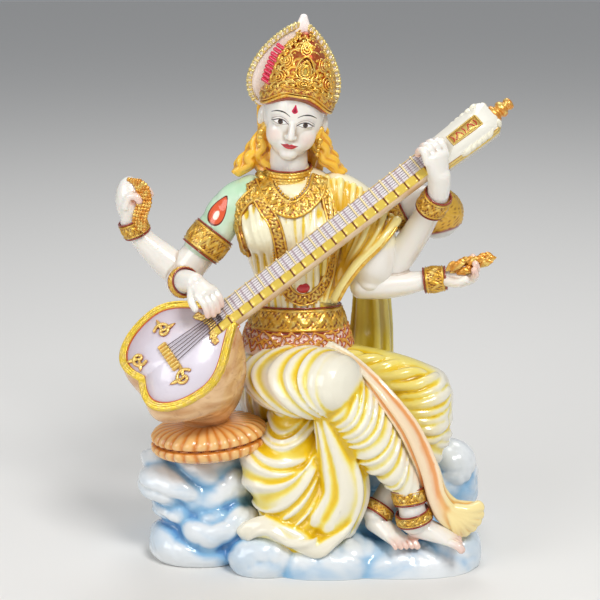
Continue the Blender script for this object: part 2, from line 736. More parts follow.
def hand(wrist, forward, palm, length, curl, thumb):
    """The palm, four fingers that curl towards it and a thumb; also the tips, which are tinted."""
    f = unit(forward)
    p = np.array(palm, float)
    p = unit(p - f * (p @ f))
    side = np.cross(f, p) * thumb

    def station(a, b, c, wide, deep=None):
        spot = np.array(wrist) + (f * a + side * b + p * c) * length
        return [*spot, wide * length, (deep or wide) * length]

    shapes = [
        limb([station(0, 0, 0, 0.21, 0.17), station(0.42, 0, 0, 0.29, 0.14)], 32, 12, p),
        limb([station(0.1, 0.18, 0.05, 0.1), station(0.32, 0.34, 0.14, 0.09),
              station(0.52, 0.36, 0.24, 0.08)], 16, 14, p),
    ]
    tips = []
    for finger, reach in enumerate(FINGER_REACH):
        across = (1.5 - finger) * 0.145
        rows = [station(0.36, across, 0, 0.088)]
        angle, a, c = 0.0, 0.4, 0.0
        for k, bone in enumerate(FINGER_BONES):
            angle += curl[k]
            a += math.cos(angle) * reach * bone
            c += math.sin(angle) * reach * bone
            rows.append(station(a, across, c, 0.08 - 0.006 * k))
        shapes.append(limb(rows, 16, 22, p))
        tips.append(rows[-1][:3])
    return shapes, tips


def foot(heel, toe, width, mirror):
    """The sole and instep, and five toes; also the toes' tips, which are tinted."""
    heel, toe = np.array(heel, float), np.array(toe, float)
    length = np.linalg.norm(toe - heel)
    f = (toe - heel) / length
    side = unit(np.cross(UP, f)) * mirror
    half = width / 2

    def station(a, b, c, wide, deep):
        return [*(heel + f * a * length + side * b * width + UP * c * length), wide, deep]

    shapes = [limb([station(0, 0, 0, half * 0.85, length * 0.24),
                    station(0.35, 0, 0, half * 0.85, length * 0.19),
                    station(0.75, 0, 0, half, length * 0.11)], 32, 24, UP)]
    tips = []
    for i in range(5):
        size = half * (0.27 if i == 0 else 0.2)
        reach, across = 1 - 0.05 * i, (i - 2) * 0.2
        rows = [station(reach - 0.25, across, 0.02, size, size),
                station(reach - 0.08, across * 1.15, 0.03, size, size),
                station(reach, across * 1.15, -0.02, size, size)]
        shapes.append(limb(rows, 14, 10, UP))
        tips.append(rows[-1][:3])
    return shapes, tips


# Materials


class Channel:
    """A value in a material. Arithmetic on it adds the nodes that work it out."""

    def __init__(self, finish, socket):
        self.finish, self.socket = finish, socket

    def worked(self, operation, *others):
        return self.finish.value("ShaderNodeMath", {"operation": operation}, self, *others)

    def __add__(self, other):
        return self.worked("ADD", other)

    def __sub__(self, other):
        return self.worked("SUBTRACT", other)

    def __rsub__(self, other):
        return self.finish.value("ShaderNodeMath", {"operation": "SUBTRACT"}, other, self)

    def __mul__(self, other):
        return self.worked("MULTIPLY", other)

    def __truediv__(self, other):
        return self.worked("DIVIDE", other)

    def __abs__(self):
        return self.worked("ABSOLUTE")

    def clipped(self):
        return self.finish.value("ShaderNodeClamp", {}, self)

    def least(self, other):
        return self.worked("MINIMUM", other)

    def most(self, other):
        return self.worked("MAXIMUM", other)

    __radd__ = __add__
    __rmul__ = __mul__


class Finish:
    """A paint or glaze, built up from nodes."""

    def __init__(self, name, **constants):
        self.material = bpy.data.materials.new(name)
        self.material.use_nodes = True
        self.tree = self.material.node_tree
        self.shader = self.tree.nodes["Principled BSDF"]
        for socket, constant in constants.items():
            self.shader.inputs[socket.replace("_", " ")].default_value = constant

    def node(self, kind, settings, *inputs, **named):
        made = self.tree.nodes.new(kind)
        for key, setting in settings.items():
            setattr(made, key, setting)
        for key, given in [*enumerate(inputs), *named.items()]:
            self.join(given, made.inputs[key if isinstance(key, int) else key.replace("_", " ")])
        return made

    def join(self, given, socket):
        if isinstance(given, Channel):
            given = given.socket
        if isinstance(given, bpy.types.NodeSocket):
            self.tree.links.new(given, socket)
        else:
            socket.default_value = given

    def value(self, kind, settings, *inputs, **named):
        return Channel(self, self.node(kind, settings, *inputs, **named).outputs[0])

    def noted(self, name):
        made = self.node("ShaderNodeAttribute", {"attribute_name": name})
        return Channel(self, made.outputs["Fac"])

    def spot(self):
        return self.node("ShaderNodeTexCoord", {}).outputs["Object"]

    def mottle(self, scale, detail=3.0, stretch=None, distort=0.0):
        """Noise from 0 to 1 over the object, `scale` spots to the metre."""
        where = self.spot()
        if stretch:
            where = self.node("ShaderNodeMapping", {}, Vector=where, Scale=stretch).outputs[0]
        made = self.node("ShaderNodeTexNoise", {}, Vector=where, Scale=scale, Detail=detail,
                         Distortion=distort)
        return Channel(self, made.outputs["Fac"])

    def depth(self, scale, share, *more):
        """How deep a point lies in a recess, unsettled by noise so that a coat's edge breaks up."""
        return self.noted("recess") + (self.mottle(scale, *more) - 0.5) * share

    def step(self, channel, low, high):
        """0 below `low`, 1 above `high`, and smooth between."""
        smooth = {"interpolation_type": "SMOOTHSTEP"}
        made = self.node("ShaderNodeMapRange", smooth, channel, low, high, 0.0, 1.0)
        return Channel(self, made.outputs[0])

    def blend(self, share, first, second):
        """The first colour where `share` is 0 and the second where it is 1."""
        made = self.node("ShaderNodeMix", {"data_type": "RGBA"})
        self.join(share, made.inputs[0])
        for socket, colour in ((made.inputs[6], first), (made.inputs[7], second)):
            self.join(colour, socket)
        return made.outputs[2]

    def washed(self, depth, ground, *coats):
        """Coats over a ground: each starts at its `low` depth and covers all from its `high`."""
        for low, high, colour in coats:
            ground = self.blend(self.step(depth, low, high), ground, colour)
        return ground

    def bumped(self, height, distance):
        made = self.node("ShaderNodeBump", {}, Strength=1.0, Distance=distance * MM, Height=height)
        self.join(made.outputs[0], self.shader.inputs["Normal"])

    def coloured(self, colour):
        self.join(colour, self.shader.inputs["Base Color"])
        return self.material


def tone(red, green, blue):
    """A screen colour, 0 to 255, as the light it stands for."""
    shares = (red / 255, green / 255, blue / 255)
    return (*[c / 12.92 if c <= 0.04045 else ((c + 0.055) / 1.055) ** 2.4 for c in shares], 1.0)


GLAZE = {"Roughness": 0.24, "Coat_Weight": 0.6, "Coat_Roughness": 0.07, "Specular_IOR_Level": 0.5}


def wash(name, crest, valley, low, high, deep=None, spots=0.12, **constants):
    """Paint that has run into the valleys and been wiped off the crests."""
    finish = Finish(name, **{**GLAZE, **constants})
    coats = [(low, high, valley)] + ([(0.8, 1.15, deep)] if deep else [])
    finish.bumped(finish.mottle(260, 2.0), 0.12)
    return finish.coloured(finish.washed(finish.depth(70, spots), crest, *coats))


def plain_paint(name, colour):
    """One colour under the glaze."""
    return Finish(name, **GLAZE).coloured(colour)


def chased_gold(name, gold, shadow, low=0.45, high=0.95):
    """Gold paint rubbed over a dark red ground."""
    finish = Finish(name, Metallic=0.55, Roughness=0.3, Coat_Weight=0.4, Coat_Roughness=0.1)
    worn = finish.washed(finish.mottle(300, 2.0), gold, (0.4, 0.7, tone(238, 205, 110)))
    finish.bumped(finish.mottle(900, 3.0), 0.25)
    return finish.coloured(finish.washed(finish.depth(500, 0.5, 4.0), worn, (low, high, shadow)))


# What the user can change


class FigurineSizes(bpy.types.PropertyGroup):
    """Sizes and counts of the smaller forms"""

    fold: FloatProperty(name="Fold height", default=1.7,
                        description="How far the crests of the cloth stand out, in millimetres")
    bead: FloatProperty(name="Bead", default=0.0008, unit="LENGTH",
                        description="Radius of the small gold beads")
    string: FloatProperty(name="String", default=0.00022, unit="LENGTH",
                          description="Radius of the lute's strings")
    frets: IntProperty(name="Frets", default=19, min=2, description="Frets along the lute's neck")
    curls: IntProperty(name="Curls", default=13, min=7,
                       description="The more, the more curls in each of the crown's lower rows")


def swatch(name, red, green, blue):
    """A colour that the user can change."""
    return FloatVectorProperty(name=name, description=name + " of the paint", subtype="COLOR", size=4,
                               min=0, max=1, default=tone(red, green, blue))


class FigurineColours(bpy.types.PropertyGroup):
    """The main paints"""

    ivory: swatch("Ivory", 240, 235, 226)
    cream: swatch("Cream", 240, 234, 214)
    yellow: swatch("Yellow", 236, 196, 22)
    gold: swatch("Gold", 226, 172, 52)
    maroon: swatch("Maroon", 112, 34, 20)
    orange: swatch("Orange", 238, 160, 92)
    mint: swatch("Mint", 190, 226, 190)
    cloud: swatch("Cloud", 232, 236, 238)
    blue: swatch("Blue", 132, 182, 218)
    pink: swatch("Pink", 236, 206, 200)
    hair: swatch("Hair", 232, 158, 26)
    red: swatch("Red", 200, 30, 40)


def sizes():
    return bpy.context.scene.figurine_sizes


def colours():
    return bpy.context.scene.figurine_colours


# Repeats, made with Geometry Nodes


def bead_tree(material):
    """Beads along every edge path of a mesh, at an even spacing."""
    tree = bpy.data.node_groups.new("beads along a path", "GeometryNodeTree")
    face = tree.interface
    face.new_socket("Geometry", in_out="INPUT", socket_type="NodeSocketGeometry")
    inputs = {name: face.new_socket(name, in_out="INPUT", socket_type="NodeSocketFloat")
              for name in ("Radius", "Spacing")}
    face.new_socket("Geometry", in_out="OUTPUT", socket_type="NodeSocketGeometry")
    new, link = tree.nodes.new, tree.links.new
    entry, leave = new("NodeGroupInput"), new("NodeGroupOutput")
    curve, spaced = new("GeometryNodeMeshToCurve"), new("GeometryNodeResampleCurve")
    spaced.mode = "LENGTH"
    bead, spots = new("GeometryNodeMeshIcoSphere"), new("GeometryNodeInstanceOnPoints")
    bead.inputs["Subdivisions"].default_value = 2
    real, dress = new("GeometryNodeRealizeInstances"), new("GeometryNodeSetMaterial")
    dress.inputs["Material"].default_value = material
    link(entry.outputs["Geometry"], curve.inputs["Mesh"])
    link(curve.outputs["Curve"], spaced.inputs["Curve"])
    link(entry.outputs["Spacing"], spaced.inputs["Length"])
    link(entry.outputs["Radius"], bead.inputs["Radius"])
    link(spaced.outputs["Curve"], spots.inputs["Points"])
    link(bead.outputs["Mesh"], spots.inputs["Instance"])
    link(spots.outputs["Instances"], real.inputs["Geometry"])
    link(real.outputs["Geometry"], dress.inputs["Geometry"])
    link(dress.outputs["Geometry"], leave.inputs["Geometry"])
    return tree, inputs


def bead_rows(name, paths, radius, spacing, material):
    """Beads along paths in millimetres, as one plain mesh; `radius` and `spacing` are metres."""
    lines = bpy.data.meshes.new(name + "_lines")
    points, edges = [], []
    for path in paths:
        edges += [(len(points) + i, len(points) + i + 1) for i in range(len(path) - 1)]
        points += (np.asarray(path) * MM).tolist()
    lines.from_pydata(points, edges, [])
    tree, inputs = bead_tree(material)
    given = [(inputs["Radius"].identifier, radius), (inputs["Spacing"].identifier, spacing)]
    mesh = remade(lines, name, "NODES", {"node_group": tree}, given)
    mesh.shade_smooth()
    note(mesh, "recess", np.zeros(len(mesh.vertices)))
    return place(mesh, material)


# The pieces


class FIGURINE_OT_base(bpy.types.Operator):
    """Clouds and rock that the goddess sits on"""

    bl_idname = "figurine.base"
    bl_label = "Cloud base"

    def execute(self, context):
        mesh = fused("base", [lump(centre, half, **form) for centre, half, form in BOULDERS], voxel=1.15)
        points, out = points_of(mesh), normals_of(mesh)
        x, y, z = points.T
        drift = 7 * np.sin(x / 15 + 1.3 * np.sin(y / 17)) + 4 * np.sin(x / 6.5 + y / 9 + 2)
        rolls = np.abs(np.sin(np.pi * (z + drift) / 19)) ** 0.7
        tufts = np.sin(x / 4.2 + 2 * np.sin(z / 9)) * np.sin(z / 5 + 1.5 * np.sin(x / 8 + y / 7))
        tufts = np.abs(tufts) ** 0.6
        left = 1.2 + 1.4 * rise(x, -25, -45)
        swell = (left * (rolls - 0.65) + 0.9 * (tufts - 0.5)) * rise(z, 3, 11)
        set_points(mesh, points + out * swell[:, None])
        level_underside(mesh)
        relax(mesh, 2)
        sink(mesh, spread=6.5, reach=1.5)
        x, y, z = points_of(mesh).T
        note(mesh, "low", rise(z, 44, 18) * rise(z, -4, 10) * rise(x, -14, -38))
        c = colours()
        finish = Finish("cloud glaze", **GLAZE)
        depth = finish.noted("recess") + (finish.mottle(17, 3.0, (1, 1, 2.0), 1.0) - 0.45) * 1.5
        depth = depth + 0.3 * finish.noted("low")
        tint = finish.washed(depth, c.cloud, (0.0, 0.85, c.blue), (0.75, 1.3, tone(70, 128, 186)))
        finish.bumped(finish.mottle(160, 3.0), 0.25)
        place(mesh, finish.coloured(tint), share=0.6)
        return {"FINISHED"}


CUSHION_RADIUS, CUSHION_HALF, CUSHION_OVAL = 32.3, 8.8, 0.84
# Radius and height as shares of the cushion's, and how strong its pleats are there
CUSHION_PROFILE = [
    (0.5, -0.98, 0), (0.8, -0.9, 0.3), (0.95, -0.66, 1), (1.0, -0.35, 1), (0.985, -0.12, 0.8),
    (0.93, -0.04, 0.3), (0.93, 0.05, 0.3), (0.975, 0.15, 0.8), (0.98, 0.4, 1), (0.92, 0.66, 1),
    (0.8, 0.9, 0.8), (0.6, 1.0, 0.5), (0.4, 1.03, 0.2),
]


class FIGURINE_OT_cushion(bpy.types.Operator):
    """Pleated cushion under the lute"""

    bl_idname = "figurine.cushion"
    bl_label = "Cushion"

    def execute(self, context):
        around, pleats = 240, 30
        v = TAU * np.arange(around) / around
        rings, deep = [], []
        for r, h, strength in smooth_path(CUSHION_PROFILE, 46):
            wave = creased(pleats * v + 0.8 * np.sin(5 * v) + 0.5 * np.sin(3 * v + 5 * h))
            radius = r * CUSHION_RADIUS + 0.8 * strength * wave
            height = h * CUSHION_HALF + 0.25 * strength * wave
            rings.append(np.stack([np.cos(v) * radius, np.sin(v) * radius * CUSHION_OVAL, height], -1))
            deep.append(np.clip(0.5 - 0.5 * wave * strength + ridge(h, 0.09), 0, 1))
        tilt = Matrix.Translation((-55, -25, 71.5)) @ Matrix.Rotation(-0.08, 4, "Y")
        body = skin(np.array(rings), (0, 0, -8.5), (0, 0, 8.8), np.array(deep))
        finish = Finish("cushion paint", **GLAZE)
        tint = finish.washed(finish.depth(60, 0.5), tone(240, 190, 120), (0.1, 0.8, tone(216, 132, 46)),
                             (0.85, 1.25, tone(140, 62, 24)))
        assemble("cushion", [body], finish.coloured(tint), tilt)
        a = np.linspace(0, TAU, 2 * pleats, endpoint=False)
        height = 0.35 + 0.9 * (np.arange(2 * pleats) % 2)
        zigzag = np.stack([np.cos(a) * 30.4, np.sin(a) * 25.5, height], -1)
        paint = plain_paint("seam paint", colours().maroon)
        seam = carried(looped(zigzag), tilt)
        bead_rows("cushion_seam", [seam], radius=0.00055, spacing=0.0012, material=paint)
        return {"FINISHED"}


class FIGURINE_OT_drapery(bpy.types.Operator):
    """Draped skirt over both legs, and the sash that falls beside them"""

    bl_idname = "figurine.drapery"
    bl_label = "Drapery"

    def execute(self, context):
        c = colours()
        mesh = carved("skirt", drapery_shapes(sizes().fold), voxel=0.85, spread=3.5, reach=0.55, level=True)
        x, y, z = points_of(mesh).T
        note(mesh, "golden", rise(x, 12, 20) * rise(x, 74, 60) * rise(z, 56, 70) * rise(y, -38, -33))
        finish = Finish("skirt paint", **GLAZE)
        depth = finish.depth(55, 0.6) + 0.16 * finish.noted("golden")
        crest = finish.blend(finish.noted("golden"), c.cream, tone(244, 224, 120))
        tint = finish.washed(depth, crest, (0.05, 0.6, tone(243, 226, 110)), (0.42, 0.88, c.yellow),
                             (0.9, 1.3, tone(180, 132, 14)))
        finish.bumped(finish.mottle(200, 2.0), 0.12)
        skirt = place(mesh, finish.coloured(tint), share=0.48)
        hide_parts("figure")
        self.sash(c)
        return {"FINISHED"}

    def sash(self, c):
        """The sash beside the legs, with the fan that its lower end opens into."""
        pleats = lambda t, v: 1.15 * ridged(5 * v + 2.2 * np.sin(5 * t)) * np.clip(4.5 - 4 * t, 0, 1)
        fan = []
        for a in np.linspace(-0.15, 1.3, 6):
            ahead, down = math.cos(a), math.sin(a)
            fan.append(limb([[74, -49, 41, 2, 3], [78 + 9 * ahead, -50, 37 - 8 * down, 2.7, 3.4],
                             [78 + 16 * ahead, -46, 36 - 14 * down, 3.6, 4]], 20, 30))
        mesh = carved("sash", [limb(SASH, 80, 130, relief=pleats), *fan], voxel=0.6, spread=2.2, reach=0.5)
        x = points_of(mesh)[:, 0]
        note(mesh, "lobe", rise(x, 70, 78))
        note(mesh, "waist", rise(x, 38, 22))
        finish = Finish("sash paint", **GLAZE)
        depth = finish.depth(70, 0.2)
        tint = finish.washed(depth, tone(248, 222, 186), (0.15, 0.6, c.orange),
                             (0.7, 1.0, tone(206, 112, 44)))
        waist = finish.washed(depth, c.cream, (0.3, 0.9, tone(240, 196, 110)))
        lobe = finish.washed(depth, tone(250, 228, 160), (0.35, 0.9, tone(236, 176, 84)))
        tint = finish.blend(finish.noted("waist"), tint, waist)
        tint = finish.blend(finish.noted("lobe"), tint, lobe)
        place(mesh, finish.coloured(tint), share=0.6)


SHAWL_FOLDS = 12


def trunk():
    """The torso with its breasts and the wide sleeve."""
    breasts = [lump([-25, -9, 185], [12, 12, 13]), lump([4, -9, 184], [12, 12, 13])]
    return [limb(TORSO, 64, 70), limb(SLEEVE_B, 40, 40), *breasts]


class FIGURINE_OT_torso(bpy.types.Operator):
    """Bodice, shawl and the cloth down the back"""

    bl_idname = "figurine.torso"
    bl_label = "Bodice and shawl"

    def execute(self, context):
        c = colours()
        core = fused("core", trunk(), voxel=1.1)
        hit = probe_of(core)
        bpy.data.meshes.remove(core)
        pleats = []
        for x in np.arange(-36, 7, 4.4):
            top = 204 - 0.5 * max(0, -24 - x)
            line = [[x, top], [0.97 * x, 190], [0.85 * x + 1, 172], [0.8 * x + 2, 140]]
            path, _ = laid(hit, line, 18, lift=-0.5)
            path[:, 0] += 0.5 * np.sin(np.linspace(0, 5, 18) + x)
            pleats.append(limb(sized(path, 1.7), 12, 36))
        mesh = carved("bodice", [*trunk(), *pleats], voxel=0.75, spread=2.8, reach=0.6)
        finish = Finish("bodice paint", **GLAZE)
        tint = finish.washed(finish.depth(60, 1.1, 2.0, (1, 1, 0.3)), tone(246, 238, 204),
                             (0.4, 0.85, tone(240, 206, 60)), (0.95, 1.2, tone(204, 160, 50)))
        x, _, z = points_of(mesh).T
        note(mesh, "bare", rise(z, 177, 174) * rise(x, 21, 24))
        place(mesh, finish.coloured(finish.blend(finish.noted("bare"), tint, c.ivory)), share=0.5)
        self.shawl(hit)
        rear = lambda t, v: 0.9 * ridged(8 * v + 2 * t)
        cloth = limb(BACK_CLOTH, 80, 60, relief=rear)
        back = carved("back_cloth", [cloth], voxel=0.7, spread=2.5, reach=0.6)
        paint = wash("back cloth paint", tone(226, 206, 96), tone(186, 156, 24), 0.25, 0.6,
                     tone(110, 90, 20))
        place(back, paint, share=0.5)
        return {"FINISHED"}

    def shawl(self, hit):
        """Folds gathered from the shoulder down to the waist."""
        inner = np.array([[7, 213], [9, 190], [9, 165], [7, 143]], float)
        outer = np.array([[46, 192], [39, 178], [28, 164], [15, 142]], float)
        folds = []
        for k, share in enumerate(np.linspace(0, 1, SHAWL_FOLDS)):
            line = inner + (outer - inner) * share
            line[0, 1] += 5 * math.sin(math.pi * share)
            path, _ = laid(hit, line, 18, lift=0.2, fall=LOOK_FALL)
            path[:, 1] += 0.5 * np.sin(np.linspace(0, 6, 18) + 2 * k)
            size = np.linspace(1.9, 1.1, 18) * (1.0 + 0.25 * math.sin(2.6 * k))
            folds.append(limb(sized(path, size, 1.2), 14, 40))
        mesh = carved("shawl", [limb(SHAWL_EDGE, 30, 50), *folds], voxel=0.55, spread=2.0, reach=0.55)
        paint = wash("shawl paint", tone(246, 230, 150), tone(232, 184, 44), 0.05, 0.6,
                     tone(142, 84, 18), spots=0.45)
        place(mesh, paint, share=0.55)


class FIGURINE_OT_limbs(bpy.types.Operator):
    """Arms, hands and feet"""

    bl_idname = "figurine.limbs"
    bl_label = "Arms, hands and feet"

    def execute(self, context):
        shapes, tips = [], []
        for arm in (ELBOW_A, RAISED_FOREARM, PLAYING_FOREARM, REAR_ARM, HOLDING_FOREARM, OFFERING_FOREARM):
            shapes.append(limb(arm, 40, 40))
        for setting in HANDS:
            made, ends = hand(**setting)
            shapes += made
            tips += ends
        shapes.append(lump([-98.5, 0, 201], [8, 8, 13]))
        self.finish("arms", shapes, tips)
        shapes = [
            limb([[53, -45, 54, 8.5, 8.5], [56, -47, 42, 7.2, 8], [59, -48, 30, 8.5, 9]], 32, 24),
            limb([[50, -28, 46, 8, 8], [42, -35, 36, 7, 8], [37, -39, 30, 7, 8]], 32, 24),
        ]
        tips = []
        for setting in (([60, -46, 27], [86, -55, 20], 17, 1), ([37, -39, 27], [56, -56, 17], 14, -1)):
            made, ends = foot(*setting)
            shapes += made
            tips += ends
        self.finish("feet", shapes, tips)
        self.sleeve()
        return {"FINISHED"}

    def finish(self, name, shapes, tips):
        """Melts the shapes into one skin that blushes near the tips of its fingers or toes."""
        mesh = carved(name, shapes, voxel=0.62, spread=2.2, reach=0.6)
        points = points_of(mesh)
        nearest = np.min([np.linalg.norm(points - tip, axis=1) for tip in tips], axis=0)
        note(mesh, "blush", np.clip(1.2 - nearest / 6.5, 0, 1))
        place(mesh, skin_paint("skin paint " + name), share=0.46)

    def sleeve(self):
        """The tight sleeve of the arm that plays, with a leaf painted on it."""
        c = colours()
        creases = lambda t, v: 0.35 * creased(26 * t + 2 * v) * fade(t)
        mesh = carved("sleeve", [limb(SLEEVE_A, 48, 60, relief=creases)], voxel=0.7, spread=2.5, reach=0.5)
        x, _, z = points_of(mesh).T - np.array([[-49], [0], [196]])
        along, across = 0.5 * x + 0.87 * z, 0.87 * x - 0.5 * z
        note(mesh, "leaf_u", along / 8.5)
        note(mesh, "leaf_v", across / (3.9 - 0.22 * along))
        finish = Finish("sleeve paint", **GLAZE)
        u, v = finish.noted("leaf_u"), finish.noted("leaf_v")
        rim = u * u + v * v
        inside = finish.step(1 - rim, -0.04, 0.08)
        line = finish.step(0.16 - abs(rim - 1), 0.0, 0.08)
        eye = finish.step(0.1 - ((u + 0.35) * (u + 0.35) + v * v), -0.02, 0.03)
        tint = finish.washed(finish.mottle(60), c.mint, (0.35, 0.75, tone(222, 236, 216)))
        tint = finish.blend(inside, tint, tone(226, 92, 48))
        tint = finish.blend(eye, tint, c.cream)
        tint = finish.blend(line, tint, c.maroon)
        place(mesh, finish.coloured(tint), share=0.7)


def bare_skin(name):
    """A finish that lets a little light in, and its ivory, darker in the recesses."""
    finish = Finish(name, Subsurface_Weight=0.25, Subsurface_Scale=0.004, **GLAZE)
    finish.shader.inputs["Subsurface Radius"].default_value = (1.0, 0.7, 0.5)
    shade = (0.55, 0.95, tone(206, 190, 172))
    return finish, finish.washed(finish.noted("recess"), colours().ivory, shade)


def skin_paint(name):
    """Ivory skin with a blush over the tips."""
    finish, tint = bare_skin(name)
    blush = finish.noted("blush") * (0.45 + 0.5 * finish.step(finish.noted("recess"), 0.35, 0.75))
    return finish.coloured(finish.blend(blush.clipped(), tint, tone(232, 140, 104)))


class FIGURINE_OT_head(bpy.types.Operator):
    """Face, neck and hair"""

    bl_idname = "figurine.head"
    bl_label = "Head and hair"

    def execute(self, context):
        face = [
            lump([0, 0, 7], [16.8, 18, 24], around=48, rows=32), lump([0, -5, -8], [11.8, 11.4, 10.8]),
            limb([[0, -16, 6, 1.3, 1.6], [0, -17.8, 1, 1.6, 2.0], [0, -18.6, -3.4, 2.2, 2.6]], 16, 14),
            lump([0, -19, -4.6], [2.4, 2.2, 1.9]),
            lump([0, -15.9, -9.0], [3.9, 1.9, 1.0]), lump([0, -15.7, -10.6], [3.2, 2.1, 1.25]),
            lump([0, -11.6, -14.8], [5.4, 4.8, 4.2]), lump([0, -10.5, -9], [9, 6, 7]),
        ]
        for side in (-1, 1):
            face += [
                lump([side * 6.8, -14.0, 3.0], [4.6, 3.1, 2.6]),
                lump([side * 6.4, -8.4, -4.5], [7.4, 7.6, 9.5]),
                lump([side * 2.1, -17.0, -4.9], [1.4, 1.8, 1.2]),
                limb([[side * 2.5, -16.2, 7.2, 1, 1], [side * 7, -15.4, 8.0, 1.2, 1.2],
                      [side * 11.5, -12.4, 6.2, 0.9, 0.9]], 12, 16),
                lump([side * 17, 2, 0], [2.6, 3.4, 6]),
            ]
        shapes = [moved(shape, HEAD) for shape in face] + [limb(NECK, 40, 24)]
        mesh = fused("face", shapes, voxel=0.42)
        set_points(mesh, averaged(mesh, points_of(mesh), rounds_for(mesh, 0.75)))
        sink(mesh, spread=1.8, reach=0.6)
        x, y, z = carried(points_of(mesh), HEAD.inverted()).T
        note(mesh, "face_x", x)
        note(mesh, "face_z", z)
        note(mesh, "face_front", rise(y, -8, -11))
        place(mesh, face_paint(), share=0.55)
        tail = lambda t, v: 0.9 * ridged(14 * v + 3 * np.sin(7 * t)) + 0.25 * creased(37 * v + 5 * t)
        locks = [strand for lock in LOCKS for strand in waved(lock)]
        shapes = [*locks, limb(BACK_HAIR, 160, 90, relief=tail)]
        hair = carved("hair", shapes, voxel=0.5, spread=1.6, reach=0.5, rounds=1)
        paint = wash("hair paint", tone(250, 196, 60), colours().hair, 0.25, 0.6, tone(160, 84, 10), 0.2)
        place(hair, paint, share=0.5)
        return {"FINISHED"}


def waved(lock, strands=6):
    """A lock of hair as wavy strands that wind round each other."""
    rows = smooth_path(lock, 26)
    t = np.linspace(0, 1, 26)
    shapes = [limb(np.hstack([rows[:, :3], rows[:, 3:] * 0.72]), 24, 26)]
    for k in range(strands):
        a = TAU * k / strands + 2.2 * t
        wave = np.sin(TAU * 3.2 * t + 1.9 * k)
        wound = np.stack([np.cos(a) * rows[:, 3] * 0.62 + wave, np.sin(a) * rows[:, 4] * 0.62, 0 * t], 1)
        size = np.clip(rows[:, 3] * 0.42, 1.2, 3) * (1 - 0.45 * t**3)
        shapes.append(limb(sized(rows[:, :3] + wound, size), 12, 60))
    return shapes


def face_paint():
    """Skin with painted brows, eyes, lips and a drop on the brow, placed by the head's own frame."""
    finish, tint = bare_skin("face paint")
    x, z, front = finish.noted("face_x"), finish.noted("face_z"), finish.noted("face_front")
    side = abs(x)

    def dab(tint, mask, *colour):
        return finish.blend(mask * front, tint, tone(*colour))

    def inside(amount, soft=0.12):
        return finish.step(amount, -soft, soft)

    def oval(across, up, wide, high):
        return 1 - (across * across / wide + up * up / high)

    u = (side - 6.9) / 4.2
    arch = 1 - u * u
    eye = z - 2.6
    lid, lash = 1.75 * arch, -1.0 * arch
    open_eye = inside((lid - eye).least(eye - lash))
    hollow = inside(oval(side - 7.5, z - 4.4, 20, 5), 0.6)
    tint = dab(tint, hollow * 0.35, 190, 176, 168)
    tint = dab(tint, open_eye, 246, 244, 240)
    iris = 1.9 - ((side - 6.8) * (side - 6.8) + (eye - 0.4) * (eye - 0.4))
    tint = dab(tint, inside(iris, 0.25) * open_eye, 70, 44, 30)
    tint = dab(tint, inside(iris - 1.4, 0.2) * open_eye, 14, 10, 10)
    near = inside(1.15 - abs(u), 0.1)
    tint = dab(tint, inside(0.3 - abs(eye - lid), 0.12) * near, 24, 18, 18)
    tint = dab(tint, inside(0.14 - abs(eye - lash), 0.1) * near, 90, 66, 58)
    tint = dab(tint, inside(0.12 - abs(eye - lid - 1.2), 0.1) * near, 120, 100, 92)
    brow = (side - 7.2) / 5.2
    line = abs(z - (8.6 - 2.0 * brow * brow))
    tint = dab(tint, inside(0.42 - 0.25 * abs(brow) - line) * inside(1 - abs(brow), 0.05), 30, 22, 20)
    drop = z - 11
    width = 1.5 - 0.42 * (drop + 0.6)
    mark = (width - side).least(2.6 - abs(drop)).least(3.6 - side * side - drop * drop * 0.62)
    tint = dab(tint, inside(mark), 206, 26, 76)
    tint = dab(tint, inside(mark - 0.9), 150, 14, 44)
    mouth, lips = x / 4.5, z + 9.7
    bend = 1 - mouth * mouth
    above = (1.25 * bend - 0.45 * (1 - side).most(0.0)) - lips
    below = lips + 1.7 * bend
    tint = dab(tint, inside(above.least(below), 0.15), 206, 52, 62)
    parting = abs(lips - 0.25 * mouth * mouth)
    tint = dab(tint, inside(0.16 - parting, 0.1) * inside(1.05 - abs(mouth), 0.1), 120, 20, 30)
    cheek = oval(side - 9.5, z + 5, 26, 22).clipped()
    tint = dab(tint, cheek * 0.25, 238, 170, 150)
    return finish.coloured(tint)


# Crown

CURL_TURNS = 1.35


def on_dome(angle, height):
    """A point of the crown's dome and the way it faces, in the head's frame."""
    rows = np.array(DOME)
    x, y, wide, deep = (np.interp(height, rows[:, 2], rows[:, k]) for k in (0, 1, 3, 4))
    below, above = (np.interp(height + step, rows[:, 2], rows[:, 3]) for step in (-2, 2))
    point = np.array([x + wide * math.cos(angle), y + deep * math.sin(angle), height])
    return point, unit([math.cos(angle), math.sin(angle), (below - above) / 4])


def facing(out):
    """The level direction across a surface that faces `out`, and the one up along it."""
    across = unit(np.cross(UP, out))
    return across, np.cross(out, across)


def curl(point, out, size, handed):
    """A scroll laid on a surface."""
    across, up = facing(out)
    a = np.linspace(0.4, TAU * CURL_TURNS, 15)[:, None]
    r = size * a / a[-1]
    path = point + out * 0.5 - up * size * 0.3 + across * handed * r * np.cos(a) + up * r * np.sin(a)
    return limb(sized(path, 0.24 * size + 0.12), 6, 15, out)


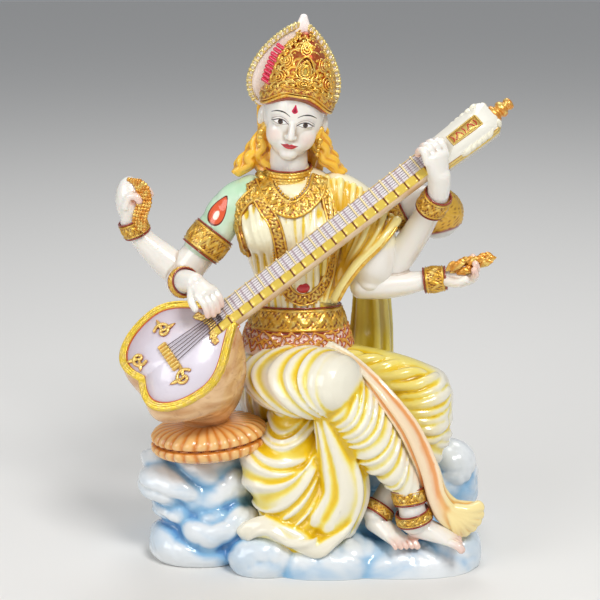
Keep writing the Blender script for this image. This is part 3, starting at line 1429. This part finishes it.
def setting(point, out, half, rings):
    """Ridges around a jewel, and the jewel."""
    across, up = facing(out)
    a = np.linspace(0, TAU, 40, endpoint=False)[:, None]
    pointed = 0.35 * np.cos(a) ** 2 * (np.cos(a) < 0)
    outline = half[0] * np.sin(a) * across + half[1] * (pointed - np.cos(a)) * up
    shapes = []
    for k in range(rings):
        path = point + out * (0.5 + 0.9 * k) + outline * (1 - k / rings)
        shapes.append(ribbon(path, out, 1.3, 0.8, roped(1.6), closed=True, across=7, height=0.3))
    seat = np.eye(4)
    seat[:3] = np.stack([across, -out, up, point + out * 0.6], 1)
    return shapes, moved(lump([0, 0, 0], [half[0] * 0.8, 1.8, half[1] * 0.8]), seat)


def fan_edge(count):
    """The outline of the crest, from its lower left round its tip to its lower right."""
    half = bow([[17, 2], [36, 14], [17, 42], [2.5, 50]], count)
    return np.vstack([half, half[::-1] * [-1, 1]]) + [-2.5, 2]


def arched(shape):
    """Lifts the crown's lower edge over the forehead."""
    y, z = shape.points[:, 1:].T
    points = shape.points.copy()
    points[:, 2] += 10 * rise(y, 1, -18.5) ** 2.5 * rise(z, 30, 12)
    return Shape(points, shape.faces, shape.recess)


# Where the crown's jewels sit: the angle, the height and half the width and height
CROWN_JEWELS = [
    (-1.5, 31, (4.8, 6.2)), (-1.5, 20.5, (3.8, 4.2)), (-2.3, 24, (3.4, 4.0)), (-0.7, 24, (3.4, 4.0)),
    (-1.5, 41, (2.8, 3.4)), (-2.2, 34, (2.4, 3.0)), (-0.8, 34, (2.4, 3.0)),
]


class FIGURINE_OT_crown(bpy.types.Operator):
    """Chased crown with the crest behind it"""

    bl_idname = "figurine.crown"
    bl_label = "Crown and crest"

    def execute(self, context):
        c = colours()
        dome = limb(DOME, 80, 60)
        dome.recess = np.full(len(dome.points), 0.8)
        dome.points[:, 2] = np.maximum(dome.points[:, 2], 9.5)
        shapes, jewels = [dome], []
        curls = sizes().curls
        rows = [(18.5, 2 * curls - 4, 3.8), (24.5, 2 * curls - 5, 4.0), (30.5, 2 * curls - 8, 3.9),
                (35, 2 * curls - 12, 3.4), (39, 12, 3.0), (42.5, 9, 2.6), (45.5, 6, 2.2), (47.5, 4, 1.8)]
        for k, (height, count, size) in enumerate(rows):
            for i in range(count):
                angle = -math.pi / 2 + TAU * (i + 0.5 * (k % 2)) / count
                shapes.append(curl(*on_dome(angle, height), size, 1 if math.cos(angle) > 0 else -1))
                point, out = on_dome(angle + math.pi / count, height)
                shapes.append(lump(point + out * 0.4, [0.9, 0.9, 0.9], around=8, rows=6))
        for angle, height, half in CROWN_JEWELS:
            ridges, jewel = setting(*on_dome(angle, height), half, 3)
            shapes += ridges
            jewels.append(jewel)
        a = np.linspace(0, TAU, 180, endpoint=False)
        ring = np.stack([0.6 + 18.8 * np.cos(a), 1 + 19.4 * np.sin(a), 12.5 + 0 * a], -1)
        out = np.stack([np.cos(a), np.sin(a), 0 * a], -1)
        shapes.append(ribbon(ring, out, 6.5, 1.2, woven(5), closed=True, across=21, height=1.0))
        lower = ring - [0, 0, 4.2]
        shapes.append(ribbon(lower, out, 1.6, 1.0, roped(1.6), closed=True, across=7, height=0.4))
        gold = chased_gold("crown gold", tone(240, 182, 62), tone(176, 66, 26), 0.35, 0.9)
        assemble("crown", [arched(shape) for shape in shapes], gold, HEAD)
        pale = Finish("pale gold", Metallic=0.5, Roughness=0.2, Coat_Weight=0.6)
        pale = pale.coloured(tone(232, 208, 100))
        assemble("crown_jewels", [arched(jewel) for jewel in jewels], pale, HEAD)
        self.crest(c)
        return {"FINISHED"}

    def crest(self, c):
        """The crest's dished shell and tip, its beaded edge, and the red ribs on its left."""
        outline = fan_edge(40)
        n = len(outline)
        front = np.c_[outline[:, 0], np.full(n, 7.0), outline[:, 1]]
        back = front + [0, 5, 0]
        inner = np.array([-2.5, 0, 20])
        rings = [inner + (front - inner) * [s, 1, s] + [0, dip, 0] for s, dip in
                 ((0.3, 1.6), (0.6, 1.4), (0.82, 0.9), (0.95, 0.2), (1.0, 0.8))]
        rings += [inner + (back - inner) * [s, 1, s] for s in (1.0, 0.96, 0.6, 0.3)]
        shape = skin(np.array(rings), (-2.5, 8.6, 20), (-2.5, 12, 20), 0.3)
        tip = limb([[-2.3, 8.5, 48, 5, 2.4], [-2.5, 8.5, 52, 3.6, 2.4], [-2.8, 8.5, 56, 2.0, 1.8]], 24, 20)
        assemble("crest", [shape, tip], wash("crest paint", tone(255, 244, 238), c.pink, 0.4, 0.95), HEAD)
        inner_edge = inner + (front - inner) * [0.93, 1, 0.93] - [0, 0.1, 0]
        cream_gold = chased_gold("crest gold", tone(232, 214, 150), tone(150, 92, 30), 0.6, 1.4)
        for name, edge, radius, spacing in (("crest_beads", front[1:-1] + [0, 2.2, 0], 0.0013, 0.0022),
                                            ("crest_rim", inner_edge[2:-2], 0.0004, 0.0008)):
            bead_rows(name, [carried(edge, HEAD)], radius, spacing, cream_gold)
        ribs = []
        for k in range(9):
            start = on_dome(-2.78 - 0.02 * k, 20 + 2.3 * k)[0] * [1.02, 1, 1]
            ribs.append(limb([[*start, 1.05, 1.2], [*(start + [-4.2, 2.5, 1.4]), 1.2, 1.2]], 12, 10))
        assemble("crest_red_ribs", ribs, plain_paint("red paint", tone(212, 36, 74)), HEAD)
        scallops = []
        for i in range(2, n - 2, 2):
            out = unit(front[i] - inner)
            start, end = front[i] - out * 1.8 - [0, 0.2, 0], front[i] + out * 0.4
            scallops.append(limb([[*start, 0.55, 0.6], [*end, 0.95, 1.0]], 8, 6))
        assemble("crest_scallops", scallops, cream_gold, HEAD)


# Gold bands, chains and borders


def around(one, other, margin, count, depth=DEPTH):
    """A ring around a limb, halfway between two of its stations, and the way it faces."""
    one, other = np.array(one, float), np.array(other, float)
    middle = (one + other) / 2
    along = unit(other[:3] - one[:3])
    wide, deep = middle[3:] + margin
    d = unit(depth - along * (along @ depth))
    w = np.cross(d, along)
    a = np.linspace(0, TAU, count, endpoint=False)[:, None]
    out = unit(w * np.cos(a) / wide + d * np.sin(a) / deep)
    return middle[:3] + w * np.cos(a) * wide + d * np.sin(a) * deep, out


# Two stations of the limb, the band's width, its margin and pattern, and the way of its depth
BANDS = [
    ([-6, 8.6, 126, 27.3, 22.2], [-6, 10, 138, 23.4, 18.8], 13, 0.9, woven(8), DEPTH),
    ([-52, 2.5, 182, 10.4, 10.8], [-60, 0, 172, 9.8, 10.3], 13, 1.0, woven(5), DEPTH),
    ([-95, 2, 182, 6, 6.4], [-98, 1, 189, 6, 6.4], 8, 0.8, woven(4), DEPTH),
    ([-69, -19, 158.5, 7, 7], [-66.5, -24, 160.5, 6.4, 6.4], 4.5, 0.6, roped(2, 3), UP),
    ([67, -11, 199, 6.6, 6.6], [70, -16, 206, 6.2, 6], 11, 0.8, woven(5), DEPTH),
    ([66, 0, 155, 5.6, 6], [76, -1, 156.5, 5.2, 5.6], 11, 0.8, woven(5), DEPTH),
    ([46, 13.5, 190, 9.3, 10.3], [53, 13, 193.5, 9, 10], 8, 0.8, woven(5), DEPTH),
    ([55, -46, 48, 7.8, 8.2], [56, -47, 42, 7.4, 8], 7, 0.8, woven(4), DEPTH),
    ([57, -48, 37, 7.6, 8.2], [59, -48, 30, 8.5, 9], 5, 0.8, woven(4), DEPTH),
    ([41, -36, 35, 7, 8], [37, -39, 30, 7, 8], 5, 0.8, woven(4), DEPTH),
    ([-11, 7, 211, 12.9, 12.3], [-11, 6, 219, 11.4, 11.5], 7, 0.6, roped(2.2, 4), DEPTH),
]
# Lines over the bodice, as points [x, z] seen from the front
GARLAND = [
    [-31, 211], [-28, 206], [-23.5, 199], [-19, 192], [-16, 184], [-14.5, 175], [-14, 163], [-12, 153],
    [-8, 148], [-3, 146], [3, 148], [8, 154], [11, 163], [12, 178], [11.5, 192], [9.5, 204], [8, 211],
]
COLLAR = [[-25, 213], [-22, 207], [-16, 201], [-9, 198.5], [-2, 201], [4, 207], [6, 213]]
ARMHOLE = [[-27, 207], [-33, 202], [-37, 196], [-37.5, 188], [-35.5, 180], [-33.5, 172]]
SHAWL_BORDER = [[48, 187], [40, 178], [30, 168], [22, 157], [17, 147]]


class FIGURINE_OT_jewels(bpy.types.Operator):
    """Belt, armlets, bracelets, anklets, necklaces and borders"""

    bl_idname = "figurine.jewels"
    bl_label = "Gold bands and chains"

    def execute(self, context):
        c = colours()
        gold = chased_gold("band gold", c.gold, tone(132, 52, 22), 0.5, 1.0)
        shapes, edges = [], []
        for one, other, width, margin, pattern, axis in BANDS:
            path, out = around(one, other, margin, 80 + 4 * round(max(one[3], 8)), axis)
            reach = np.array(other[:3], float) - one[:3]
            slope = (np.array(one[3:]) - other[3:]).mean() / np.linalg.norm(reach)
            side = unit(unit(reach) - slope * out)
            out = out + slope * unit(reach)
            shapes.append(ribbon(path, out, width, 0.6, pattern, closed=True, across=23, height=1.0,
                                 sunk=4.5))
            edges += [looped(path + out * 0.6 + side * (width / 2 + 0.5) * s) for s in (-1, 1)]
        assemble("bands", shapes, gold)
        rim = wash("band edges", tone(146, 48, 26), c.maroon, 0.4, 0.8)
        assemble("band_edges", [thread(edge[::3], 0.48, rows=len(edge) // 2) for edge in edges], rim)
        core = fused("core", trunk(), voxel=1.1)
        relax(core, 4)
        hit = probe_of(core)
        bpy.data.meshes.remove(core)
        self.borders(hit, gold)
        self.girdle()
        self.trinkets(c, hit, gold)
        return {"FINISHED"}

    def borders(self, hit, gold):
        """Chased borders on the bodice, and the shawl's corded edge."""
        shapes = []
        for line, width, pattern, count in (
            (GARLAND, 7.4, scrollwork(6), 210), (COLLAR, 10, woven(5), 130), (ARMHOLE, 8, woven(4), 90),
        ):
            path, out = laid(hit, line, count, lift=1.1)
            shapes.append(ribbon(path, out, width, 0.7, pattern, across=19, height=1.0))
        path, _ = laid(probe_of(bpy.data.objects["shawl"].data), SHAWL_BORDER, 60, lift=0.3)
        shapes.append(thread(path, 1.0, 10))
        assemble("borders", shapes, gold)

    def girdle(self):
        """The red girdle under the belt, with its swags."""
        path, out = around([-6, 8, 116, 29.2, 24.2], [-6, 8, 127, 27.6, 22.2], 0.8, 240)
        finish = Finish("girdle paint", **GLAZE)
        tint = finish.washed(finish.depth(120, 0.3), tone(222, 160, 60), (0.1, 0.45, tone(178, 60, 34)),
                             (0.6, 0.85, tone(238, 206, 190)))
        strip = ribbon(path, out + 0.28 * UP, 16, 0.9, garlanded(15), closed=True, across=37, height=1.3,
                       sunk=4.5)
        assemble("girdle", [strip], finish.coloured(tint))

    def trinkets(self, c, hit, gold):
        """Bead chains beside the borders, the earrings and the red pendant."""
        beads = []
        for line, shift in ((COLLAR, 6.0), (GARLAND, -4.4)):
            path, out = laid(hit, line, 160, lift=0.8)
            beads.append(path + np.cross(out, unit(np.gradient(path, axis=0))) * shift)
        bead_rows("chain_beads", beads, sizes().bead, spacing=0.0019, material=gold)
        drops = [lump([side * 16.2, -4.5, height], [size * 0.9, size * 0.9, size]) for side in (-1, 1)
                 for height, size in ((-7.5, 2.0), (-10.6, 1.5), (-13, 1.2), (-15.4, 1.5))]
        assemble("earrings", drops, gold, HEAD)
        x, y, z = hit(-3, 153)[0]
        assemble("pendant", [lump([x, y - 0.8, z], [4, 1.6, 3])], plain_paint("ruby paint", c.red))


# Lute


def heart(inset=0.0, segments=24):
    """The soundboard's outline in the lute's frame, once round from its notch."""
    half, long = BOARD_HALF - inset, BOARD_LENGTH
    lobe = (-0.04 * long + inset, 0.62 * half)
    widest = (0.42 * long, half)
    joint = (long - 0.6 * inset, NECK_HALF - 0.4 * inset)
    curves = [
        [(1.2 * inset, 0), (-0.05 * long + inset, 0.2 * half), (-0.1 * long + inset, 0.42 * half), lobe],
        [lobe, (0.02 * long + inset, 0.82 * half), (0.18 * long, 0.99 * half), widest],
        [widest, (0.66 * long, half), (0.78 * long, 0.6 * half), joint],
    ]
    one = np.vstack([bow(ends, segments + 1)[1 if k else 0:] for k, ends in enumerate(curves)])
    return np.vstack([one, one[:0:-1] * [1, -1]])


def prism(outline, low, high):
    """A flat plate with the outline's form, between two heights."""
    rings = np.array([at_height(outline, height) for height in (low, high)])
    middle = outline.mean(0)
    return skin(rings, (*middle, low), (*middle, high))


# How far back a ring of the bowl lies, how round it is and how large, as shares
BOWL_PROFILE = [[0.02, 0, 1.0], [0.1, 0.03, 1.03], [0.22, 0.1, 1.035], [0.45, 0.45, 0.98], [0.65, 0.8, 0.8],
                [0.82, 1, 0.55], [0.93, 1, 0.43], [1, 1, 0.5]]


def board_curl(x, y, size, handed, tilt):
    """An ornament on the soundboard: a scroll with two leaves."""
    spin = Matrix.Translation((x, y, 0.2)) @ Matrix.Rotation(tilt, 4, "Z")
    a = np.linspace(0.6, TAU * 1.3, 22)
    r = size * a / a[-1]
    path = np.c_[r * np.cos(a), handed * r * np.sin(a), np.zeros_like(a)]
    shapes = [limb(sized(path, 1.0), 8, 30, UP)]
    for turn in (-0.7, 0.9):
        tip = np.array([math.cos(turn), math.sin(turn) * handed, 0]) * size * 1.6
        shapes.append(limb([[0, 0, 0, 0.6, 0.5], [*(tip * 0.6), 1.3, 0.8], [*tip, 0.3, 0.3]], 8, 9, UP))
    for shape in shapes:
        shape.recess = np.clip(0.9 - 1.3 * shape.points[:, 2], 0, 1)
    return [moved(shape, spin) for shape in shapes]


class FIGURINE_OT_lute(bpy.types.Operator):
    """Lute with its heart-shaped bowl, fretted neck and pegbox, and the gourd behind the neck"""

    bl_idname = "figurine.lute"
    bl_label = "Lute"

    def execute(self, context):
        c = colours()
        finish = Finish("bowl paint", **GLAZE)
        tint = finish.washed(finish.mottle(26, 3.0, (1, 1, 2.2), 1.5), tone(236, 196, 146),
                             (0.35, 0.75, tone(196, 138, 78)))
        fine = finish.step(finish.mottle(90, 5.0, (1, 1, 2), 2.0), 0.5, 0.75) * 0.5
        tint = finish.blend(fine, tint, tone(160, 100, 50))
        assemble("lute_bowl", [self.bowl()], finish.coloured(tint), LUTE)
        self.board(c)
        self.neck(c)
        self.trim(c)
        self.gourd()
        return {"FINISHED"}

    def board(self, c):
        """The soundboard, its chased rim and the red lines beside the rim."""
        glaze = wash("board glaze", tone(232, 224, 234), tone(214, 200, 214), 0.4, 0.8)
        assemble("soundboard", [prism(heart(3.2), -3.0, -0.6)], glaze, LUTE)
        outline = heart()
        centre = np.array([0.42 * BOARD_LENGTH, 0])
        away = at_height(unit(outline - centre))

        def scaled(share, height):
            return at_height(centre + (outline - centre) * share, height)

        rim = [ribbon(scaled(0.945, -0.4), UP, 4.0, 0.5, scrollwork(3.4), closed=True, across=19,
                      height=0.4),
               ribbon(scaled(1, -2.2), away, 3.6, 0.3, scrollwork(4), closed=True, height=0.3)]
        yellow_gold = chased_gold("rim gold", tone(240, 206, 60), tone(176, 112, 20), 0.75, 1.3)
        assemble("board_rim", rim, yellow_gold, LUTE)
        red = wash("rim line", tone(206, 92, 40), c.maroon, 0.4, 0.8)
        lines = [limb(sized(looped(line), 0.34), 8, 2 * len(line), UP, flat=True)
                 for line in (scaled(0.872, -0.45), scaled(1.02, -4.4))]
        assemble("rim_lines", lines, red, LUTE)

    def gourd(self):
        """The gourd behind the neck, chased above a red line and plain below it."""
        centre, half = [73, 18, 189.5], [14.5, 12, 14.5]
        gourd = lump(centre, half, around=110, rows=76)
        local = (gourd.points - centre) / half
        height = local[:, 2] - 0.25 * local[:, 0]
        u = np.arctan2(local[:, 1], local[:, 0])
        grain = np.sin(16 * u + 3 * np.sin(9 * height)) * np.sin(22 * height + 2 * np.sin(5 * u))
        grain = 0.5 + 0.5 * grain
        above = height + 0.62
        gilt = np.clip(above * 30, 0, 1)
        gourd.points = gourd.points + local * (0.6 * gilt * grain)[:, None]
        gourd.recess = 1 - grain
        mesh = mesh_of("gourd", gourd)
        note(mesh, "gilt", gilt)
        note(mesh, "line", ridge(above, 0.06))
        outward(mesh)
        finish = Finish("gourd paint", Roughness=0.3, Metallic=0.25, Coat_Weight=0.5)
        gold = finish.washed(finish.depth(400, 0.5), tone(224, 176, 62), (0.5, 1.1, tone(150, 92, 26)))
        tint = finish.blend(finish.noted("gilt"), tone(226, 226, 222), gold)
        tint = finish.blend(finish.noted("line"), tint, tone(150, 40, 24))
        place(mesh, finish.coloured(tint))

    def bowl(self):
        """The heart's outline carried back and drawn in to a round, level foot."""
        outline = heart(0.6)
        centre = np.array([0.4 * BOARD_LENGTH, 0.0, 0.0])
        inverse = np.linalg.inv(LUTE)
        under = (inverse @ [*BOWL_FOOT, 1])[:3]
        up = inverse[:3, :3] @ UP
        right = unit(np.array([1.0, 0, 0]) - up * up[0])
        away = np.cross(up, right)
        flat = at_height(outline) - centre
        angle = np.arctan2(flat[:, 1], flat[:, 0])[:, None]
        level = (right * np.cos(angle) + away * np.sin(angle)) * BOARD_HALF
        rings = [(flat + (level - flat) * roundness) * size + centre + (under - centre) * t
                 for t, roundness, size in smooth_path(BOWL_PROFILE, 44)]
        return skin(np.array(rings), rings[0].mean(0), rings[-1].mean(0))

    def neck(self, c):
        """The neck with its fingerboard and rail, the frets and the strings."""
        start, end = 0.85 * BOARD_LENGTH, NECK_END
        a = np.linspace(math.pi, TAU, 22)[1:-1]
        belly = zip(np.cos(a) * NECK_HALF, np.sin(a) * (NECK_DEPTH - 3) - 3)
        section = [(-NECK_HALF, -0.2), (-NECK_HALF, -3), *belly, (NECK_HALF, -3), (NECK_HALF, -0.2)]
        rings = np.array([[(x, y, z) for y, z in section] for x in np.linspace(start, end, 60)])
        finish = Finish("neck paint", **GLAZE)
        tint = finish.washed(finish.mottle(80, 4.0), tone(232, 206, 172), (0.35, 0.7, tone(214, 172, 124)))
        neck = skin(rings, rings[0].mean(0), rings[-1].mean(0))
        assemble("lute_neck", [neck], finish.coloured(tint), LUTE)
        places = np.linspace(BOARD_LENGTH + 3, end - 15, sizes().frets)
        pitch = places[1] - places[0]
        board = np.linspace([start - 3, 0, -0.3], [end - 4, 0, -0.3], 320)
        silver = wash("string ground", tone(246, 238, 240), tone(204, 182, 190), 0.6, 1.0)
        ground = ribbon(board + [0, 2.6, 0], UP, 9.4, 0.6, notched(pitch, 0.18), across=15, height=0.35)
        assemble("fingerboard", [ground], silver, LUTE)
        rail = ribbon(board - [0, 4.9, 0], UP, 5.2, 1.0, notched(pitch, 0.15), across=13, height=0.4)
        yellow_gold = wash("neck gold", tone(234, 202, 84), tone(120, 62, 16), 0.5, 0.9, Metallic=0.2)
        assemble("neck_rail", [rail], yellow_gold, LUTE)
        crest = [(-2.4, 0.6), (2, 0.85), (NECK_HALF - 0.2, 0.6)]
        frets = [limb([[x, y, height, 0.6, 0.7] for y, height in crest], 8, 12, UP) for x in places]
        pale = wash("fret paint", tone(240, 220, 166), tone(176, 140, 100), 0.5, 0.9)
        assemble("frets", frets, pale, LUTE)
        line = limb(sized(board[::8] + [0, 7.4, 0.1], 0.4), 8, 60, UP)
        assemble("neck_line", [line], wash("neck line", tone(224, 190, 110), c.maroon, 0.7, 1.1), LUTE)
        string = sizes().string / MM
        strings = []
        for y in (np.arange(6) - 2.5) * 1.35:
            path = [[0.36 * BOARD_LENGTH, y * 1.7, 1.2, 1.2, 1.2],
                    [0.9 * BOARD_LENGTH, y + 0.8, 1.4, 1.1, 1.1],
                    [1.1 * BOARD_LENGTH, y * 1.1 + 2.4, 1.2, 0.6, 0.6],
                    [end + 2, y * 1.1 + 2.6, 1.2, 0.6, 0.6]]
            strings.append(limb(np.array(path) * [1, 1, 1, string, string], 6, 40, UP))
        finish = Finish("string paint", Metallic=0.3, Roughness=0.35)
        assemble("strings", strings, finish.coloured(tone(92, 74, 76)), LUTE)

    def trim(self, c):
        """Pegbox with its panel and finial, the bridge, and the ornaments of the soundboard."""
        end = NECK_END + 34
        edge = [(NECK_END - 2, NECK_HALF + 0.5), (end - 10, NECK_HALF + 1.5), (end - 3, NECK_HALF + 1.2),
                (end, NECK_HALF - 1.5)]
        box = smooth_outline([(x, -y) for x, y in edge] + edge[::-1], 90)
        ivory = wash("pegbox paint", tone(240, 236, 222), tone(236, 214, 120), 0.3, 0.8)
        assemble("pegbox", [prism(box, 0.6 - NECK_DEPTH, 0.8)], ivory, LUTE)
        panel = [(NECK_END + 7, -3.2), (end - 8, -3.6), (end - 8, 3.6), (NECK_END + 7, 3.2)]
        border = at_height(smooth_outline(panel, 80), 0.9)
        gold = chased_gold("panel gold", tone(236, 206, 120), tone(176, 112, 48))
        away = at_height(unit(box - box.mean(0)))
        gilding = [ribbon(border, UP, 1.0, 0.4, roped(1.6), closed=True, across=9, height=0.3),
                   prism(smooth_outline(panel, 60), 0.2, 0.95),
                   ribbon(at_height(box, -5.5), away, 5.0, 0.3, roped(3, 2), closed=True, height=0.5)]
        assemble("pegbox_gilding", gilding, gold, LUTE)
        strokes = []
        for i in range(7):
            x = NECK_END + 8.5 + 2.5 * i
            lean = 1.2 * math.sin(2.1 * i)
            stroke = [[x - lean, -1.8, 1.0], [x + 0.5, 0, 1.2], [x + lean, 1.8, 1.0]]
            strokes.append(thread(stroke, 0.3, depth=UP))
        assemble("pegbox_strokes", strokes, plain_paint("stroke paint", c.red), LUTE)
        wings = []
        for k in range(5):
            x, low = NECK_END + 11 + 3.6 * k, -NECK_HALF - 1.6
            wings.append(limb([[x - 4, low + 1.5, -4.5, 1.2, 1.6], [x, low, -3, 1.6, 2],
                               [x + 3, low + 0.6, -1, 0.9, 1]], 14, 16, UP))
            for centre, half in (([x + 3, NECK_HALF + 1.2, -2.5 + 0.4 * k], [2.6, 1.8, 2.6]),
                                 ([end - 1, (k - 2) * 3.4, -3], [2.2, 2.1, 3.6])):
                wings.append(lump(centre, half, around=18, rows=11))
        paint = wash("wing paint", tone(244, 238, 216), tone(232, 204, 110), 0.3, 0.8)
        assemble("pegbox_wings", wings, paint, LUTE)
        profile = smooth_path(FINIAL, 40)[1:-1].clip(0.05, None) * [1.15, 1]
        seat = Matrix.Translation((end, 0, -NECK_DEPTH * 0.45)) @ Matrix.Rotation(math.pi / 2, 4, "Y")
        paint = chased_gold("finial gold", tone(226, 150, 60), tone(150, 60, 20), 0.7, 1.4)
        assemble("finial", [moved(turned(profile), seat)], paint, LUTE)
        self.ornaments()

    def ornaments(self):
        """The bridge, the small scrolls over the neck's joint and the three scrolls of the soundboard."""
        x = 0.34 * BOARD_LENGTH
        shapes = [limb([[x - 1.9, y, 0.2, 1.2, 1.6], [x + 1.9, y, 0.2, 1.2, 1.6]], 12, 8, UP)
                  for y in np.linspace(-8, 8, 8)]
        for k, y in enumerate(np.linspace(-9.2, 9.2, 9)):
            shapes += board_curl(0.83 * BOARD_LENGTH - abs(y) * 0.5, y, 1.7, 1 if k % 2 else -1, k)
        for x, y, size, handed, tilt in ((0.42, 15.5, 5.0, 1, 0.6), (0.34, -16, 5.2, -1, 2.2),
                                         (0.1, 10.5, 4.6, 1, 3.4)):
            shapes += board_curl(x * BOARD_LENGTH, y, size, handed, tilt)
        pale = chased_gold("ornament gold", tone(238, 196, 110), tone(186, 70, 34), 0.2, 0.9)
        assemble("board_ornaments", shapes, pale, LUTE)


def smooth_outline(corners, count):
    """Points spread evenly round a closed outline of straight sides."""
    closed = looped(np.array(corners, float))
    run = np.concatenate([[0], np.cumsum(np.linalg.norm(np.diff(closed, axis=0), axis=1))])
    s = np.linspace(0, run[-1], count, endpoint=False)
    return np.c_[np.interp(s, run, closed[:, 0]), np.interp(s, run, closed[:, 1])]


class FIGURINE_OT_held(bpy.types.Operator):
    """Beads held in the raised hand and leaves in the open one"""

    bl_idname = "figurine.held"
    bl_label = "Beads and leaves"

    def execute(self, context):
        c = colours()
        gold = chased_gold("bead gold", tone(222, 150, 50), c.maroon)
        line = np.array([[-95, -6, 213], [-91, -8, 210], [-89.5, -9, 202], [-92, -9, 194], [-93, -7, 186]])
        paths = [smooth_path(line + [k, -0.7 * k, 0], 24) for k in (-3.2, -1.6, 0, 1.6, 3.2)]
        bead_rows("held_beads", paths, radius=0.0013, spacing=0.002, material=gold)
        leaves = []
        for k in range(18):
            start = np.array([1.2 * k, 2.6 * math.sin(2.4 * k), 0.4 * k + 1.8 * math.cos(3.1 * k)])
            start += [77, -6, 160.5]
            tip = start + [6.5, -1.5 + 1.4 * math.sin(2 * k), 2.6 + 1.6 * math.cos(3 * k)]
            middle = (start + tip) / 2 + [0, 0, 1]
            leaves.append(limb([[*start, 0.9, 0.9], [*middle, 2.5, 1.6], [*tip, 0.5, 0.5]], 12, 14))
        assemble("held_leaves", leaves, gold)
        return {"FINISHED"}


CAMERA_TARGET = Vector((-4.5, 0, 143.6)) * MM
CAMERA_DISTANCE = 0.9
LENS = 96.2
SENSOR = 36
NEAREST_SEEN = 0.05
FLOOR_HALF = 4
# Name, place, size and power of each lamp
LAMPS = [
    ("key", (0.45, -0.9, 1.3), 0.45, 14),
    ("fill", (-1.1, -0.9, 0.8), 0.9, 8),
    ("top", (0.1, 0.7, 1.4), 0.7, 6),
]


class FIGURINE_OT_stage(bpy.types.Operator):
    """Floor, soft lights and camera"""

    bl_idname = "figurine.stage"
    bl_label = "Stage"

    def execute(self, context):
        scene = context.scene
        mesh = bpy.data.meshes.new("floor")
        corners = [(x * FLOOR_HALF, y * FLOOR_HALF, 0) for x, y in ((-1, -1), (1, -1), (1, 1), (-1, 1))]
        mesh.from_pydata(corners, [], [(0, 1, 2, 3)])
        floor = bpy.data.objects.new("floor", mesh)
        scene.collection.objects.link(floor)
        mesh.materials.append(Finish("floor", Roughness=0.8).coloured(tone(230, 228, 224)))
        world = scene.world or bpy.data.worlds.new("studio")
        scene.world = world
        world.use_nodes = True
        sky = world.node_tree.nodes["Background"].inputs
        sky["Color"].default_value = tone(214, 218, 224)
        sky["Strength"].default_value = 0.45
        scene.view_settings.view_transform = "Standard"
        for name, spot, size, power in LAMPS:
            lamp = bpy.data.lights.new(name, "AREA")
            lamp.size, lamp.energy = size, power
            light = bpy.data.objects.new(name, lamp)
            light.location = spot
            light.rotation_euler = (CAMERA_TARGET - Vector(spot)).to_track_quat("-Z", "Y").to_euler()
            scene.collection.objects.link(light)
        camera = bpy.data.objects.new("camera", bpy.data.cameras.new("camera"))
        camera.data.lens, camera.data.sensor_width = LENS, SENSOR
        camera.data.clip_start = NEAREST_SEEN
        away = Vector((0, -math.cos(CAMERA_RISE), math.sin(CAMERA_RISE))) * CAMERA_DISTANCE
        camera.location = CAMERA_TARGET + away
        camera.rotation_euler = (-away).to_track_quat("-Z", "Y").to_euler()
        scene.collection.objects.link(camera)
        scene.camera = camera
        return {"FINISHED"}


class FIGURINE_PT_panel(bpy.types.Panel):
    """Sizes and colours, and a button for each group of pieces"""

    bl_idname = "FIGURINE_PT_panel"
    bl_label = "Figurine"
    bl_space_type = "VIEW_3D"
    bl_region_type = "UI"
    bl_category = "Figurine"

    def draw(self, context):
        for group in (context.scene.figurine_sizes, context.scene.figurine_colours):
            for name in group.__annotations__:
                self.layout.prop(group, name)
        for operator in OPERATORS:
            self.layout.operator(operator.bl_idname)


OPERATORS = (
    FIGURINE_OT_base, FIGURINE_OT_cushion, FIGURINE_OT_drapery, FIGURINE_OT_torso, FIGURINE_OT_limbs,
    FIGURINE_OT_head, FIGURINE_OT_crown, FIGURINE_OT_jewels, FIGURINE_OT_lute, FIGURINE_OT_held,
    FIGURINE_OT_stage,
)
CLASSES = (FigurineSizes, FigurineColours, *OPERATORS, FIGURINE_PT_panel)


def register():
    for cls in CLASSES:
        bpy.utils.register_class(cls)
    bpy.types.Scene.figurine_sizes = PointerProperty(type=FigurineSizes)
    bpy.types.Scene.figurine_colours = PointerProperty(type=FigurineColours)


def unregister():
    del bpy.types.Scene.figurine_colours
    del bpy.types.Scene.figurine_sizes
    for cls in reversed(CLASSES):
        bpy.utils.unregister_class(cls)


def main():
    register()
    bpy.ops.figurine.base()
    bpy.ops.figurine.cushion()
    bpy.ops.figurine.drapery()
    bpy.ops.figurine.torso()
    bpy.ops.figurine.limbs()
    bpy.ops.figurine.head()
    bpy.ops.figurine.crown()
    bpy.ops.figurine.jewels()
    bpy.ops.figurine.lute()
    bpy.ops.figurine.held()
    bpy.ops.figurine.stage()


if __name__ == "__main__":
    main()
